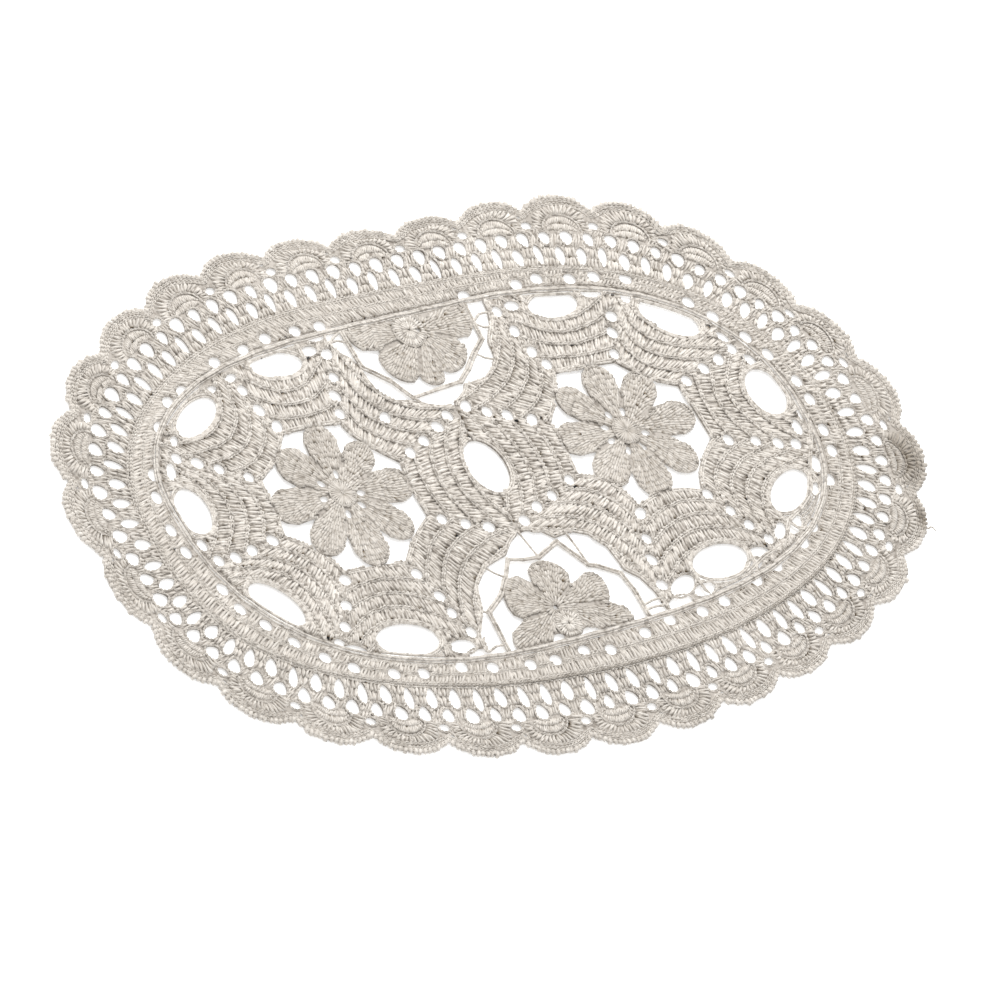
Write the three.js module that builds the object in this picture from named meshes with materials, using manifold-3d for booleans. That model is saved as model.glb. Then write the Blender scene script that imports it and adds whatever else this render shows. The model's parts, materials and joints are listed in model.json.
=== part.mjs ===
// Crochet placemat: an oval openwork mat that lies flat.
// Two large eight-petal flowers, each in a ring of eight shells, two small flowers held in
// chain nets between them, a cord and a dense post band round all of it, then an open
// lattice band and an edging of thirty-one scallops.
// Millimetres, +Z up. The mat lies on z = 0, with its length along X.

import * as THREE from 'three';
import { mergeVertices } from 'three/addons/utils/BufferGeometryUtils.js';
import Module from 'manifold-3d';

const wasm = await Module();
wasm.setup();

// Thickness of each kind of crochet
const edgingThickness = 2.2;
const latticeThickness = 2.2;
const bandThickness = 2.6;
const cordThickness = 2.8;
const shellThickness = 2.5;
const flowerThickness = 3;
const netThickness = 2.4;

// Clearance between neighbouring pieces
const gap = 0.3;

// Ovals: centre, half axes and the power of the superellipse
const scallopOval = { x: -1.8, y: 1.4, halfLength: 219.2, halfWidth: 130.9, power: 2.333 };
const cordOval = { x: -0.2, y: 3.9, halfLength: 176.8, halfWidth: 88.6, power: 2.25 };

// Slow wander of each hand-worked oval, as waves per turn; the border's fades towards the middle
const scallopWander = [
  { waves: 2, sine: 0, cosine: 0.9 },
  { waves: 3, sine: 0.9, cosine: 0.55 },
  { waves: 4, sine: -1.35, cosine: 0 },
  { waves: 5, sine: -1.45, cosine: 1 },
  { waves: 6, sine: -0.75, cosine: 0.85 },
  { waves: 7, sine: 1.2, cosine: 0.7 },
];
const cordWander = [
  { waves: 3, sine: 1.5, cosine: 0.55 },
  { waves: 4, sine: -2.1, cosine: -2.35 },
];
const wanderDepth = 45;

// Radial build of the border, measured inward from the foot line between scallops
const edgingDepth = 12;
const latticeDepth = 29.2;
const cordWidth = 3;

// Scallops: count, rise of a fan above the foot line, and the slow drift of their pitch
const scallops = {
  count: 31,
  rise: 6.8,
  fullness: 2.4,
  firstFoot: 0.644,
  driftCosine: 0.05,
  driftSine: -0.209,
  pointsPerFan: 6,
};

// Eyelets of the lattice band: three in each scallop's width, long across the band
const eyelets = { perScallop: 3, phase: 0.28, depth: 23, halfLength: 3.9, halfWidth: 2.1, corners: 6 };

// Joints between neighbouring shells, from beyond the cord in to the flower
const leftJoints = [
  { outX: -47.5, outY: 93, inX: -66.5, inY: 41 },
  { outX: -116, outY: 89, inX: -98, inY: 41 },
  { outX: -178, outY: 48.5, inX: -121, inY: 20.5 },
  { outX: -184, outY: -17.5, inX: -123, inY: -7.8 },
  { outX: -131, outY: -81, inX: -101.5, inY: -30 },
  { outX: -46.5, outY: -92, inX: -68.5, inY: -31 },
  { outX: -3.5, outY: -26.5, inX: -46, inY: -11 },
  { outX: -3.5, outY: 39.5, inX: -46, inY: 17 },
];
const rightJoints = [
  { outX: 38.5, outY: 93, inX: 57.5, inY: 46 },
  { outX: 111, outY: 90, inX: 90.5, inY: 46 },
  { outX: 178, outY: 51, inX: 117, inY: 29 },
  { outX: 184, outY: -15, inX: 120.5, inY: 1 },
  { outX: 141, outY: -77, inX: 102, inY: -23 },
  { outX: 52.5, outY: -92, inX: 66, inY: -25 },
  { outX: -3.5, outY: -26.5, inX: 43, inY: -4 },
  { outX: -3.5, outY: 39.5, inX: 42, inY: 22.5 },
];

// Middle of each shell's edge on the flower side; shell k lies between joints k and k + 1
const leftShells = [
  { midX: -83, midY: 41.5 },
  { midX: -109, midY: 29.5 },
  { midX: -122, midY: 7 },
  { midX: -111, midY: -18 },
  { midX: -84, midY: -30.5 },
  { midX: -58, midY: -20 },
  { midX: -47, midY: 5 },
  { midX: -61, midY: 31 },
];
const rightShells = [
  { midX: 75, midY: 46.5 },
  { midX: 103, midY: 36 },
  { midX: 119, midY: 14 },
  { midX: 108, midY: -11 },
  { midX: 84, midY: -20 },
  { midX: 57, midY: -12 },
  { midX: 43, midY: 11 },
  { midX: 51, midY: 35 },
];
const shellEdgeSteps = 8;

// Eyes: the round holes that the shells spring from; an outer eye opens to the cord
const eyes = [
  { x: -84, y: 75.3, halfLength: 14.5, halfWidth: 6.6, tilt: -3, outward: 1 },
  { x: -138.5, y: 57, halfLength: 15.5, halfWidth: 7.2, tilt: 28, outward: 1 },
  { x: -164, y: 12, halfLength: 12.4, halfWidth: 9.2, tilt: 90, outward: 1 },
  { x: -145, y: -40, halfLength: 15.5, halfWidth: 8.3, tilt: -48, outward: -1 },
  { x: -87.5, y: -69, halfLength: 17, halfWidth: 8.8, tilt: -8, outward: -1 },
  { x: 93, y: -59.3, halfLength: 16.3, halfWidth: 8.8, tilt: 6, outward: -1 },
  { x: 147.5, y: -31.5, halfLength: 14.8, halfWidth: 8.2, tilt: 33, outward: -1 },
  { x: 161, y: 18.5, halfLength: 12.6, halfWidth: 10, tilt: -80, outward: 1 },
  { x: 130, y: 63, halfLength: 16, halfWidth: 8, tilt: -35, outward: 1 },
  { x: 73.5, y: 79.8, halfLength: 14.2, halfWidth: 7, tilt: 0, outward: 1 },
  { x: -2.5, y: 7.5, halfLength: 14, halfWidth: 10.4, tilt: 100, outward: 0 },
];
const eyeSteps = 20;
const eyeReach = 10;

// Edges of the two side openings, round the small flowers, from beyond the cord and back
const bottomOpening = [
  [-49.5, -95], [-49.5, -74], [-41.5, -61.5], [-38.5, -50], [-29, -41], [-15.5, -37], [-9.5, -31],
  [-3.5, -27.6], [1, -27], [9, -29], [14, -33], [24, -31.5], [32, -34.5], [38.5, -42], [40.5, -50],
  [41.5, -55], [47.5, -60], [51.5, -68], [53.5, -78], [53.5, -95],
];
const topOpening = [
  [39, 95], [38, 82], [36, 76], [33, 72], [30.5, 68], [30, 60], [26, 55], [20, 51], [13, 50],
  [7.5, 49.5], [5, 46], [-1, 42], [-7, 40.7], [-14, 42], [-21, 45], [-24, 46], [-34, 48], [-39, 53],
  [-41, 60], [-42.5, 68], [-45, 72.5], [-49.5, 76], [-52, 82], [-52, 95],
];

// Large flowers: direction and reach of each petal
const largeFlowers = [
  {
    name: 'large_flower_left', x: -84, y: 7, petals: [
      { angle: 80, reach: 36 }, { angle: 135, reach: 34 }, { angle: 186, reach: 40 },
      { angle: 225, reach: 37 }, { angle: 273, reach: 38 }, { angle: 318.5, reach: 37 },
      { angle: 357, reach: 39 }, { angle: 405, reach: 33 },
    ],
  },
  {
    name: 'large_flower_right', x: 78, y: 12, petals: [
      { angle: 92, reach: 35 }, { angle: 139, reach: 36 }, { angle: 175, reach: 38 },
      { angle: 225, reach: 34 }, { angle: 275, reach: 35 }, { angle: 324.5, reach: 37 },
      { angle: 362, reach: 40 }, { angle: 406, reach: 36 },
    ],
  },
];
const petal = { notchRadius: 21, fullness: 2, bluntness: 0.72, steps: 8 };

// Small flowers: each row is the notch before a petal, and that petal's reach
const smallFlowers = [
  {
    name: 'small_flower_bottom', x: -4, y: -67, petals: [
      { notchAngle: -4, notchRadius: 27.5, reach: 33 }, { notchAngle: 35, notchRadius: 16.5, reach: 24.5 },
      { notchAngle: 111, notchRadius: 14.5, reach: 25.5 }, { notchAngle: 189, notchRadius: 18.5, reach: 35 },
      { notchAngle: 246, notchRadius: 19, reach: 16 }, { notchAngle: 320, notchRadius: 18.5, reach: 40 },
    ],
  },
  {
    name: 'small_flower_top', x: -3, y: 79, petals: [
      { notchAngle: 194, notchRadius: 24.5, reach: 31 }, { notchAngle: 245, notchRadius: 23.5, reach: 28 },
      { notchAngle: 278, notchRadius: 21, reach: 25.5 }, { notchAngle: 338, notchRadius: 18.5, reach: 31 },
      { notchAngle: 400, notchRadius: 14, reach: 13 }, { notchAngle: 500, notchRadius: 14, reach: 39 },
    ],
  },
];
const smallPetalBluntness = 0.5;
const smallPetalSteps = 8;

// Chain nets: one chain goes round each small flower, thinner where it is a single strand
const chainNets = [
  {
    name: 'chain_net_bottom', links: [
      { x: -38.5, y: -92, width: 2.6 }, { x: -39, y: -63, width: 2.6 }, { x: -28.5, y: -56, width: 2.6 },
      { x: -21.5, y: -48, width: 2.6 }, { x: -15.8, y: -39.4, width: 1.6 }, { x: -8, y: -40.8, width: 1.6 },
      { x: 0.5, y: -41, width: 2 }, { x: 14.2, y: -35, width: 2.8 }, { x: 24.5, y: -49, width: 2.4 },
      { x: 29, y: -50.5, width: 2.4 }, { x: 38.8, y: -56, width: 2.6 }, { x: 41.5, y: -66, width: 2.6 },
      { x: 43, y: -92, width: 2.6 },
    ],
  },
  {
    name: 'chain_net_top', links: [
      { x: -43, y: 96, width: 2.6 }, { x: -41, y: 66.5, width: 2.6 }, { x: -30, y: 57.5, width: 2.8 },
      { x: -22.5, y: 47.2, width: 1.8 }, { x: -8, y: 49.2, width: 1.6 }, { x: 6.3, y: 51, width: 2.2 },
      { x: 13.5, y: 56.5, width: 2.8 }, { x: 20.5, y: 63.5, width: 2.8 }, { x: 28.3, y: 69.8, width: 2.4 },
      { x: 28, y: 96, width: 2.4 },
    ],
  },
];
const linkCorners = 8;

// Yarn colours: one pale ecru, a little deeper where the crochet is dense
const yarnTints = { edging: 0xcac0b4, lattice: 0xc8beb2, band: 0xbdb2a6, cord: 0xd0c7bb,
  shell: 0xb9aea2, flower: 0xc0b6aa, net: 0xcfc6bb };

const cutterBottom = -1;
const cutterHeight = 8;
const ovalSteps = 96;
const arcTableSteps = 1440;

// A point of a superellipse, and its outward normal
function ovalPoint(oval, turn, growth) {
  const cos = Math.cos(turn);
  const sin = Math.sin(turn);
  const bend = 2 / oval.power;
  const x = oval.halfLength * Math.sign(cos) * Math.abs(cos) ** bend;
  const y = oval.halfWidth * Math.sign(sin) * Math.abs(sin) ** bend;
  const normal = new THREE.Vector2(
    Math.sign(x) * Math.abs(x / oval.halfLength) ** (oval.power - 1) / oval.halfLength,
    Math.sign(y) * Math.abs(y / oval.halfWidth) ** (oval.power - 1) / oval.halfWidth,
  ).normalize();
  return new THREE.Vector2(oval.x + x, oval.y + y).addScaledVector(normal, growth);
}

// Turns that divide an oval into equal lengths, found from a fine table of its perimeter
function turnTable(oval) {
  const lengths = [0];
  let last = ovalPoint(oval, 0, 0);
  for (let i = 1; i <= arcTableSteps; i += 1) {
    const next = ovalPoint(oval, (i / arcTableSteps) * 2 * Math.PI, 0);
    lengths.push(lengths[i - 1] + next.distanceTo(last));
    last = next;
  }
  const perimeter = lengths[arcTableSteps];
  return (share) => {
    const wanted = (share - Math.floor(share)) * perimeter;
    let i = 1;
    while (lengths[i] < wanted) i += 1;
    const part = (wanted - lengths[i - 1]) / (lengths[i] - lengths[i - 1]);
    return ((i - 1 + part) / arcTableSteps) * 2 * Math.PI;
  };
}

const scallopTurn = turnTable(scallopOval);
const cordTurn = turnTable(cordOval);

// Share of the perimeter at a place counted in scallops, with the slow drift of their pitch
function scallopShare(place) {
  const angle = (2 * Math.PI * place) / scallops.count;
  const drift = scallops.driftCosine * Math.cos(angle) + scallops.driftSine * Math.sin(angle);
  return (place + scallops.firstFoot + drift) / scallops.count;
}

function wanderAt(oval, waves, turn) {
  const point = ovalPoint(oval, turn, 0);
  const angle = Math.atan2((point.y - oval.y) / oval.halfWidth, (point.x - oval.x) / oval.halfLength);
  return waves.reduce(
    (sum, row) => sum + row.sine * Math.sin(row.waves * angle) + row.cosine * Math.cos(row.waves * angle),
    0,
  );
}

// A point of the border at a depth inside the foot line; a negative depth lies outside it
function borderPoint(turn, depth) {
  const wander = wanderAt(scallopOval, scallopWander, turn) * (1 - depth / wanderDepth);
  return ovalPoint(scallopOval, turn, wander - depth);
}

function borderOutline(depth) {
  return Array.from({ length: ovalSteps }, (_, i) => borderPoint(scallopTurn(i / ovalSteps), depth));
}

// Outline at an even distance from the middle of the cord
function cordOutline(growth) {
  return Array.from({ length: ovalSteps }, (_, i) => {
    const turn = cordTurn(i / ovalSteps);
    return ovalPoint(cordOval, turn, growth + wanderAt(cordOval, cordWander, turn));
  });
}

// Outer outline: a rounded fan between each pair of feet
function scallopOutline() {
  const points = [];
  for (let fan = 0; fan < scallops.count; fan += 1) {
    for (let i = 0; i < scallops.pointsPerFan; i += 1) {
      const part = i / scallops.pointsPerFan;
      const turn = scallopTurn(scallopShare(fan + part));
      const rise = scallops.rise * (1 - Math.abs(2 * part - 1) ** scallops.fullness);
      points.push(borderPoint(turn, -rise));
    }
  }
  return points;
}

// Eyelet outlines, long across the lattice band, each a little out of line with its neighbours
function eyeletOutlines() {
  const outlines = [];
  const total = scallops.count * eyelets.perScallop;
  for (let i = 0; i < total; i += 1) {
    const turn = scallopTurn(scallopShare((i + eyelets.phase * eyelets.perScallop) / eyelets.perScallop));
    const unevenness = Math.sin(i * 2.4);
    const centre = borderPoint(turn, eyelets.depth - 0.6 * unevenness);
    const outward = borderPoint(turn, 0).sub(centre).normalize();
    const across = new THREE.Vector2(-outward.y, outward.x);
    const outline = [];
    for (let c = 0; c < eyelets.corners; c += 1) {
      const angle = ((c + 0.5) / eyelets.corners) * 2 * Math.PI;
      outline.push(centre.clone()
        .addScaledVector(outward, eyelets.halfLength * Math.sin(angle) * (1 + 0.1 * unevenness))
        .addScaledVector(across, eyelets.halfWidth * Math.cos(angle) * (1 - 0.15 * unevenness)));
    }
    outlines.push(outline);
  }
  return outlines;
}

// Sector between two joints, with the flower side bowed through its middle point.
// A negative inset makes it larger than the shell, for cutting what lies beside it.
function shellOutline(jointA, jointB, shell, inset) {
  const corners = [
    new THREE.Vector2(jointA.inX, jointA.inY),
    new THREE.Vector2(jointA.outX, jointA.outY),
    new THREE.Vector2(jointB.outX, jointB.outY),
    new THREE.Vector2(jointB.inX, jointB.inY),
  ];
  const middle = new THREE.Vector2(shell.midX, shell.midY);
  const centre = corners.reduce((sum, corner) => sum.add(corner), new THREE.Vector2()).multiplyScalar(0.25);
  const side = (from, to) => {
    const normal = new THREE.Vector2(to.y - from.y, from.x - to.x).normalize();
    if (normal.dot(centre.clone().sub(from)) < 0) normal.negate();
    return movedSide(from, to, normal.multiplyScalar(inset));
  };
  const sideA = side(corners[0], corners[1]);
  const back = side(corners[1], corners[2]);
  const sideB = side(corners[2], corners[3]);
  const inwards = centre.clone().sub(middle).normalize().multiplyScalar(inset);
  const start = sideB.to.clone().add(inwards);
  const end = sideA.from.clone().add(inwards);
  const bow = middle.clone().add(inwards).multiplyScalar(2).sub(start.clone().add(end).multiplyScalar(0.5));
  const edge = new THREE.QuadraticBezierCurve(start, bow, end).getPoints(shellEdgeSteps);
  return [lineCrossing(sideA, back), lineCrossing(back, sideB), ...edge];
}

// Polygon drawn in from its edges, for corners that run clockwise
function insetOutline(points, inset) {
  const sides = points.map((from, i) => {
    const to = points[(i + 1) % points.length];
    const inwards = new THREE.Vector2(to.y - from.y, from.x - to.x).normalize();
    return movedSide(from, to, inwards.multiplyScalar(inset));
  });
  return sides.map((side, i) => lineCrossing(sides[(i + sides.length - 1) % sides.length], side));
}

function movedSide(from, to, shift) {
  return { from: from.clone().add(shift), to: to.clone().add(shift) };
}

function lineCrossing(first, second) {
  const a = first.to.clone().sub(first.from);
  const b = second.to.clone().sub(second.from);
  const apart = second.from.clone().sub(first.from);
  const share = apart.cross(b) / a.cross(b);
  return first.from.clone().addScaledVector(a, share);
}

// Eye: an ellipse whose outer half is drawn out past the cord
function eyeOutline(eye) {
  const tilt = THREE.MathUtils.degToRad(eye.tilt);
  const along = new THREE.Vector2(Math.cos(tilt), Math.sin(tilt));
  const outward = new THREE.Vector2(-along.y, along.x);
  const points = [];
  for (let i = 0; i < eyeSteps; i += 1) {
    const angle = (i / eyeSteps) * 2 * Math.PI;
    const rise = eye.halfWidth * Math.sin(angle);
    const drawn = eye.outward * rise > 0 ? eye.outward * eyeReach : 0;
    points.push(new THREE.Vector2(eye.x, eye.y)
      .addScaledVector(along, eye.halfLength * Math.cos(angle))
      .addScaledVector(outward, rise + drawn));
  }
  return points;
}

// Rounded lobe between two notches, as polar points about the flower's centre
function lobePoints(flower, from, to, reach, shape) {
  const points = [];
  for (let i = 0; i < shape.steps; i += 1) {
    const part = i / shape.steps;
    const notch = THREE.MathUtils.lerp(from.radius, to.radius, part);
    const swell = (1 - Math.abs(2 * part - 1) ** shape.fullness) ** shape.bluntness;
    const radius = notch + (reach - notch) * swell;
    const angle = THREE.MathUtils.degToRad(THREE.MathUtils.lerp(from.angle, to.angle, part));
    points.push(new THREE.Vector2(flower.x + radius * Math.cos(angle), flower.y + radius * Math.sin(angle)));
  }
  return points;
}

function largeFlowerOutline(flower) {
  const count = flower.petals.length;
  return flower.petals.flatMap((row, i) => {
    const before = flower.petals[(i + count - 1) % count].angle - (i === 0 ? 360 : 0);
    const after = flower.petals[(i + 1) % count].angle + (i === count - 1 ? 360 : 0);
    const from = { angle: (before + row.angle) / 2, radius: petal.notchRadius };
    const to = { angle: (row.angle + after) / 2, radius: petal.notchRadius };
    return lobePoints(flower, from, to, row.reach, petal);
  });
}

function smallFlowerOutline(flower) {
  const count = flower.petals.length;
  const shape = { fullness: petal.fullness, bluntness: smallPetalBluntness, steps: smallPetalSteps };
  return flower.petals.flatMap((row, i) => {
    const next = flower.petals[(i + 1) % count];
    const from = { angle: row.notchAngle, radius: row.notchRadius };
    const to = { angle: next.notchAngle + (i === count - 1 ? 360 : 0), radius: next.notchRadius };
    return lobePoints(flower, from, to, row.reach, shape);
  });
}

// Flat piece with an outline and holes, resting on z = bottom
function plate(outline, holes, bottom, thickness) {
  const shape = new THREE.Shape(outline);
  shape.holes = holes.map((hole) => new THREE.Path(hole));
  const geometry = new THREE.ExtrudeGeometry(shape, { depth: thickness, bevelEnabled: false });
  geometry.translate(0, 0, bottom);
  geometry.deleteAttribute('normal');
  geometry.deleteAttribute('uv');
  return mergeVertices(geometry, 1e-4);
}

function toSolid(geometry) {
  return new wasm.Manifold(new wasm.Mesh({
    numProp: 3,
    vertProperties: new Float32Array(geometry.attributes.position.array),
    triVerts: new Uint32Array(geometry.index.array),
  }));
}

function toGeometry(solid) {
  const mesh = solid.getMesh();
  const geometry = new THREE.BufferGeometry();
  geometry.setAttribute('position', new THREE.BufferAttribute(mesh.vertProperties, 3));
  geometry.setIndex(new THREE.BufferAttribute(mesh.triVerts, 1));
  return geometry;
}

const solidPlate = (outline, thickness) => toSolid(plate(outline, [], 0, thickness));
const cutter = (outline) => toSolid(plate(outline, [], cutterBottom, cutterHeight));

// Chain link: a tapered bar with a rounded end at its second node
function linkSolid(from, to, thickness) {
  const along = new THREE.Vector2(to.x - from.x, to.y - from.y).normalize();
  const across = new THREE.Vector2(-along.y, along.x);
  const corner = (node, side) => new THREE.Vector2(node.x, node.y)
    .addScaledVector(across, (side * node.width) / 2);
  const bar = solidPlate([corner(from, -1), corner(to, -1), corner(to, 1), corner(from, 1)], thickness);
  const knuckle = [];
  for (let i = 0; i < linkCorners; i += 1) {
    const angle = (i / linkCorners) * 2 * Math.PI;
    const radius = to.width / 2;
    knuckle.push(new THREE.Vector2(to.x + radius * Math.cos(angle), to.y + radius * Math.sin(angle)));
  }
  return bar.add(solidPlate(knuckle, thickness));
}

const mat = new THREE.Group();

function addPiece(name, geometry, tint) {
  const material = new THREE.MeshStandardMaterial({ color: tint, roughness: 0.95, metalness: 0 });
  const mesh = new THREE.Mesh(geometry, material);
  mesh.name = name;
  mat.add(mesh);
}

// Border, from the outside in
addPiece(
  'scallop_edging',
  plate(scallopOutline(), [borderOutline(edgingDepth - gap / 2)], 0, edgingThickness),
  yarnTints.edging,
);
addPiece(
  'lattice_band',
  plate(
    borderOutline(edgingDepth + gap / 2),
    [borderOutline(latticeDepth - gap / 2), ...eyeletOutlines()],
    0,
    latticeThickness,
  ),
  yarnTints.lattice,
);
addPiece(
  'post_band',
  plate(
    borderOutline(latticeDepth + gap / 2),
    [cordOutline(cordWidth / 2 + gap)],
    0,
    bandThickness,
  ),
  yarnTints.band,
);
addPiece(
  'inner_cord',
  plate(
    cordOutline(cordWidth / 2),
    [cordOutline(-cordWidth / 2)],
    0,
    cordThickness,
  ),
  yarnTints.cord,
);

// The field inside the cord, and what is open in it: the eyes and the side openings
const field = cutter(cordOutline(-cordWidth / 2 - gap));
const openings = [bottomOpening, topOpening].map((edge) => edge.map(([x, y]) => new THREE.Vector2(x, y)));
const voids = [...eyes.map(eyeOutline), ...openings].map(cutter).reduce((all, next) => all.add(next));

// Adds one ring of shells, and returns the room that each takes with its clearance
function addShells(side, joints, shells) {
  return shells.map((shell, i) => {
    const after = joints[(i + 1) % joints.length];
    const outline = shellOutline(joints[i], after, shell, gap / 2);
    const solid = solidPlate(outline, shellThickness).intersect(field).subtract(voids);
    addPiece(`shell_${side}_${i + 1}`, toGeometry(solid), yarnTints.shell);
    return cutter(shellOutline(joints[i], after, shell, -gap / 2)).subtract(voids);
  });
}

const leftRooms = addShells('left', leftJoints, leftShells);
const rightRooms = addShells('right', rightJoints, rightShells);
const shellRoom = [...leftRooms, ...rightRooms].reduce((all, next) => all.add(next));

// Flowers: their petal tips end at the shells
largeFlowers.forEach((flower) => {
  const solid = solidPlate(largeFlowerOutline(flower), flowerThickness).subtract(shellRoom);
  addPiece(flower.name, toGeometry(solid), yarnTints.flower);
});
const openingRooms = openings.map((edge) => cutter(insetOutline(edge, gap)).intersect(field));
smallFlowers.forEach((flower, i) => {
  const solid = solidPlate(smallFlowerOutline(flower), flowerThickness).intersect(openingRooms[i]);
  addPiece(flower.name, toGeometry(solid), yarnTints.flower);
});

// Chain nets, kept clear of the petals that they hold
chainNets.forEach((net, i) => {
  const first = net.links.slice(0, -1);
  const chain = first.map((link, k) => linkSolid(link, net.links[k + 1], netThickness))
    .reduce((all, next) => all.add(next));
  const grownFlower = { ...smallFlowers[i],
    petals: smallFlowers[i].petals.map((row) => ({ ...row,
      notchRadius: row.notchRadius + gap, reach: row.reach + gap })) };
  const solid = chain.intersect(openingRooms[i]).subtract(cutter(smallFlowerOutline(grownFlower)));
  addPiece(net.name, toGeometry(solid), yarnTints.net);
});

// The origin is the middle of the mat, on the surface that it lies on
const middle = new THREE.Box3().setFromObject(mat).getCenter(new THREE.Vector3());
mat.position.set(-middle.x, -middle.y, 0);

export default mat;
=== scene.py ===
# Crochet placemat: thin cloth sheets on the imported solids, dark as painted shade between the stitches, with
# every stitch laid on them in yarn
import json
import math

import bpy
import bmesh
import numpy as np
from mathutils import Matrix, Vector

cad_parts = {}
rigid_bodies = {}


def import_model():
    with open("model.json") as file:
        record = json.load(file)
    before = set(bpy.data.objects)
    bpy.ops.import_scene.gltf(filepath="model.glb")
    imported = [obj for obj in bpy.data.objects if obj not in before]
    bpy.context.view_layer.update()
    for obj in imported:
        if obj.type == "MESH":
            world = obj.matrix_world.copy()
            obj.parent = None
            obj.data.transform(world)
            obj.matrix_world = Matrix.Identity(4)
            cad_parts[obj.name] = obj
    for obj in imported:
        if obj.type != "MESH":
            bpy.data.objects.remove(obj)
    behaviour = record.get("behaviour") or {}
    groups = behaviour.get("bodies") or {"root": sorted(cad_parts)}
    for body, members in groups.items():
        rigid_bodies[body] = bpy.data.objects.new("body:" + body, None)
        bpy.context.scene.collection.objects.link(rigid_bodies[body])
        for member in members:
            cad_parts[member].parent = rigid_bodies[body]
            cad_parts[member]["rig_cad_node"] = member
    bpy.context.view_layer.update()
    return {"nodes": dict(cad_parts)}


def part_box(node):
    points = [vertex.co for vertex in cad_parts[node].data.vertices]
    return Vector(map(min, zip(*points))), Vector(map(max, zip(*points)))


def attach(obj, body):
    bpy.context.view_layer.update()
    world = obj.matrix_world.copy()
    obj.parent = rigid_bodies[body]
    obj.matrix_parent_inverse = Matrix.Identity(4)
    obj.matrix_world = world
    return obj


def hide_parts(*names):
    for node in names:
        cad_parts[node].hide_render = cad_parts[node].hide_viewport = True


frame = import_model()
chance = np.random.default_rng(20)
mm = 0.001
matShift = np.array([0.1728, 1.4405])  # plan millimetres to the middle of the mat
print("frame loaded:", len(frame["nodes"]), "solids")

# Plan of the mat, in millimetres

scallopOval = {
    "middle": (-1.8, 1.4), "halves": (219.2, 130.9), "power": 2.333,
    "wander": [(2, 0, 0.9), (3, 0.9, 0.55), (4, -1.35, 0), (5, -1.45, 1), (6, -0.75, 0.85), (7, 1.2, 0.7)],
}
cordOval = {
    "middle": (-0.2, 3.9), "halves": (176.8, 88.6), "power": 2.25,
    "wander": [(3, 1.5, 0.55), (4, -2.1, -2.35)],
}
border = {"wanderDepth": 45, "lattice": 29.2, "cordWidth": 3}
scallops = {"count": 31, "rise": 6.8, "fullness": 2.4, "firstFoot": 0.644, "driftCosine": 0.05,
            "driftSine": -0.209}


def runAlong(line):
    return np.concatenate([[0], np.cumsum(np.hypot(*np.diff(line, axis=0).T))])


def ovalPoints(oval, turns, growth=0):
    halves, power = np.array(oval["halves"]), oval["power"]
    way = np.stack([np.cos(turns), np.sin(turns)], -1)
    points = halves * np.sign(way) * np.abs(way) ** (2 / power)
    outward = np.sign(points) * np.abs(points / halves) ** (power - 1) / halves
    size = np.hypot(*outward.T)[:, None]
    return oval["middle"] + points + np.reshape(growth, (-1, 1)) * outward / size


def turnsAt(oval, shares, steps=1440):
    table = np.linspace(0, 2 * math.pi, steps + 1)
    run = runAlong(ovalPoints(oval, table))
    return np.interp(np.mod(shares, 1) * run[-1], run, table)


def wanderAt(oval, turns):
    x, y = ((ovalPoints(oval, turns) - oval["middle"]) / oval["halves"]).T
    angle = np.arctan2(y, x)
    return sum(s * np.sin(w * angle) + c * np.cos(w * angle) for w, s, c in oval["wander"])


def borderPoints(turns, depth):
    wander = wanderAt(scallopOval, turns) * (1 - depth / border["wanderDepth"])
    return ovalPoints(scallopOval, turns, wander - depth)


def cordLine(growth, count=900):
    turns = turnsAt(cordOval, np.arange(count + 1) / count)
    return ovalPoints(cordOval, turns, growth + wanderAt(cordOval, turns))


# Points of the border at places counted in scallops and a depth inside the foot line
def borderAt(places, depth):
    places = np.asarray(places, float)
    angle = 2 * math.pi * places / scallops["count"]
    drift = scallops["driftCosine"] * np.cos(angle) + scallops["driftSine"] * np.sin(angle)
    shares = (places + scallops["firstFoot"] + drift) / scallops["count"]
    return borderPoints(turnsAt(scallopOval, shares), depth)


def borderPoint(place, depth):
    return borderAt([place], depth)[0]


def borderAngle(place, depth):
    a, b = borderAt([place - 0.02, place + 0.02], depth)
    return math.atan2(b[1] - a[1], b[0] - a[0])


# Line that follows the scallops, a depth inside their edge
def fanLine(places, depth):
    fan = 1 - np.abs(2 * np.mod(places, 1) - 1) ** scallops["fullness"]
    return borderAt(places, depth - scallops["rise"] * fan)


# Lines and rows

def lengthOf(line):
    return float(np.hypot(*np.diff(line, axis=0).T).sum())


def evenly(line, count):
    run, (x, y) = runAlong(line), np.transpose(line)
    wanted = np.linspace(0, run[-1], count)
    return np.stack([np.interp(wanted, run, x), np.interp(wanted, run, y)], -1)


# Middles of equal stretches of a line
def middlesOf(line, count):
    return evenly(line, 2 * count + 1)[1::2]


def unit(vectors):
    return vectors / np.maximum(np.linalg.norm(vectors, axis=-1, keepdims=True), 1e-9)


# A way turned a quarter to the left
def leftOf(ways):
    return np.stack([-ways[..., 1], ways[..., 0]], -1)


# Three points of an arc, carried on straight beyond its ends
def arcLine(first, middle, last, places):
    first, middle, last = (np.array(p, float) for p in (first, middle, last))
    u = np.clip(places, 0, 1)[:, None]
    over = places[:, None] - u
    inside = (2 * (u - 0.5) * (u - 1)) * first + (-4 * u * (u - 1)) * middle + (2 * u * (u - 0.5)) * last
    slope = (4 * u - 3) * first + (4 - 8 * u) * middle + (4 * u - 1) * last
    return inside + slope * over


# A strand from a to b, moved sideways and run on past both ends
def strandBeside(a, b, offset, runOn=0):
    a, b = np.array(a, float), np.array(b, float)
    way = unit(b - a)
    side = leftOf(way) * offset
    return np.array([a - way * runOn + side, b + way * runOn + side])


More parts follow.
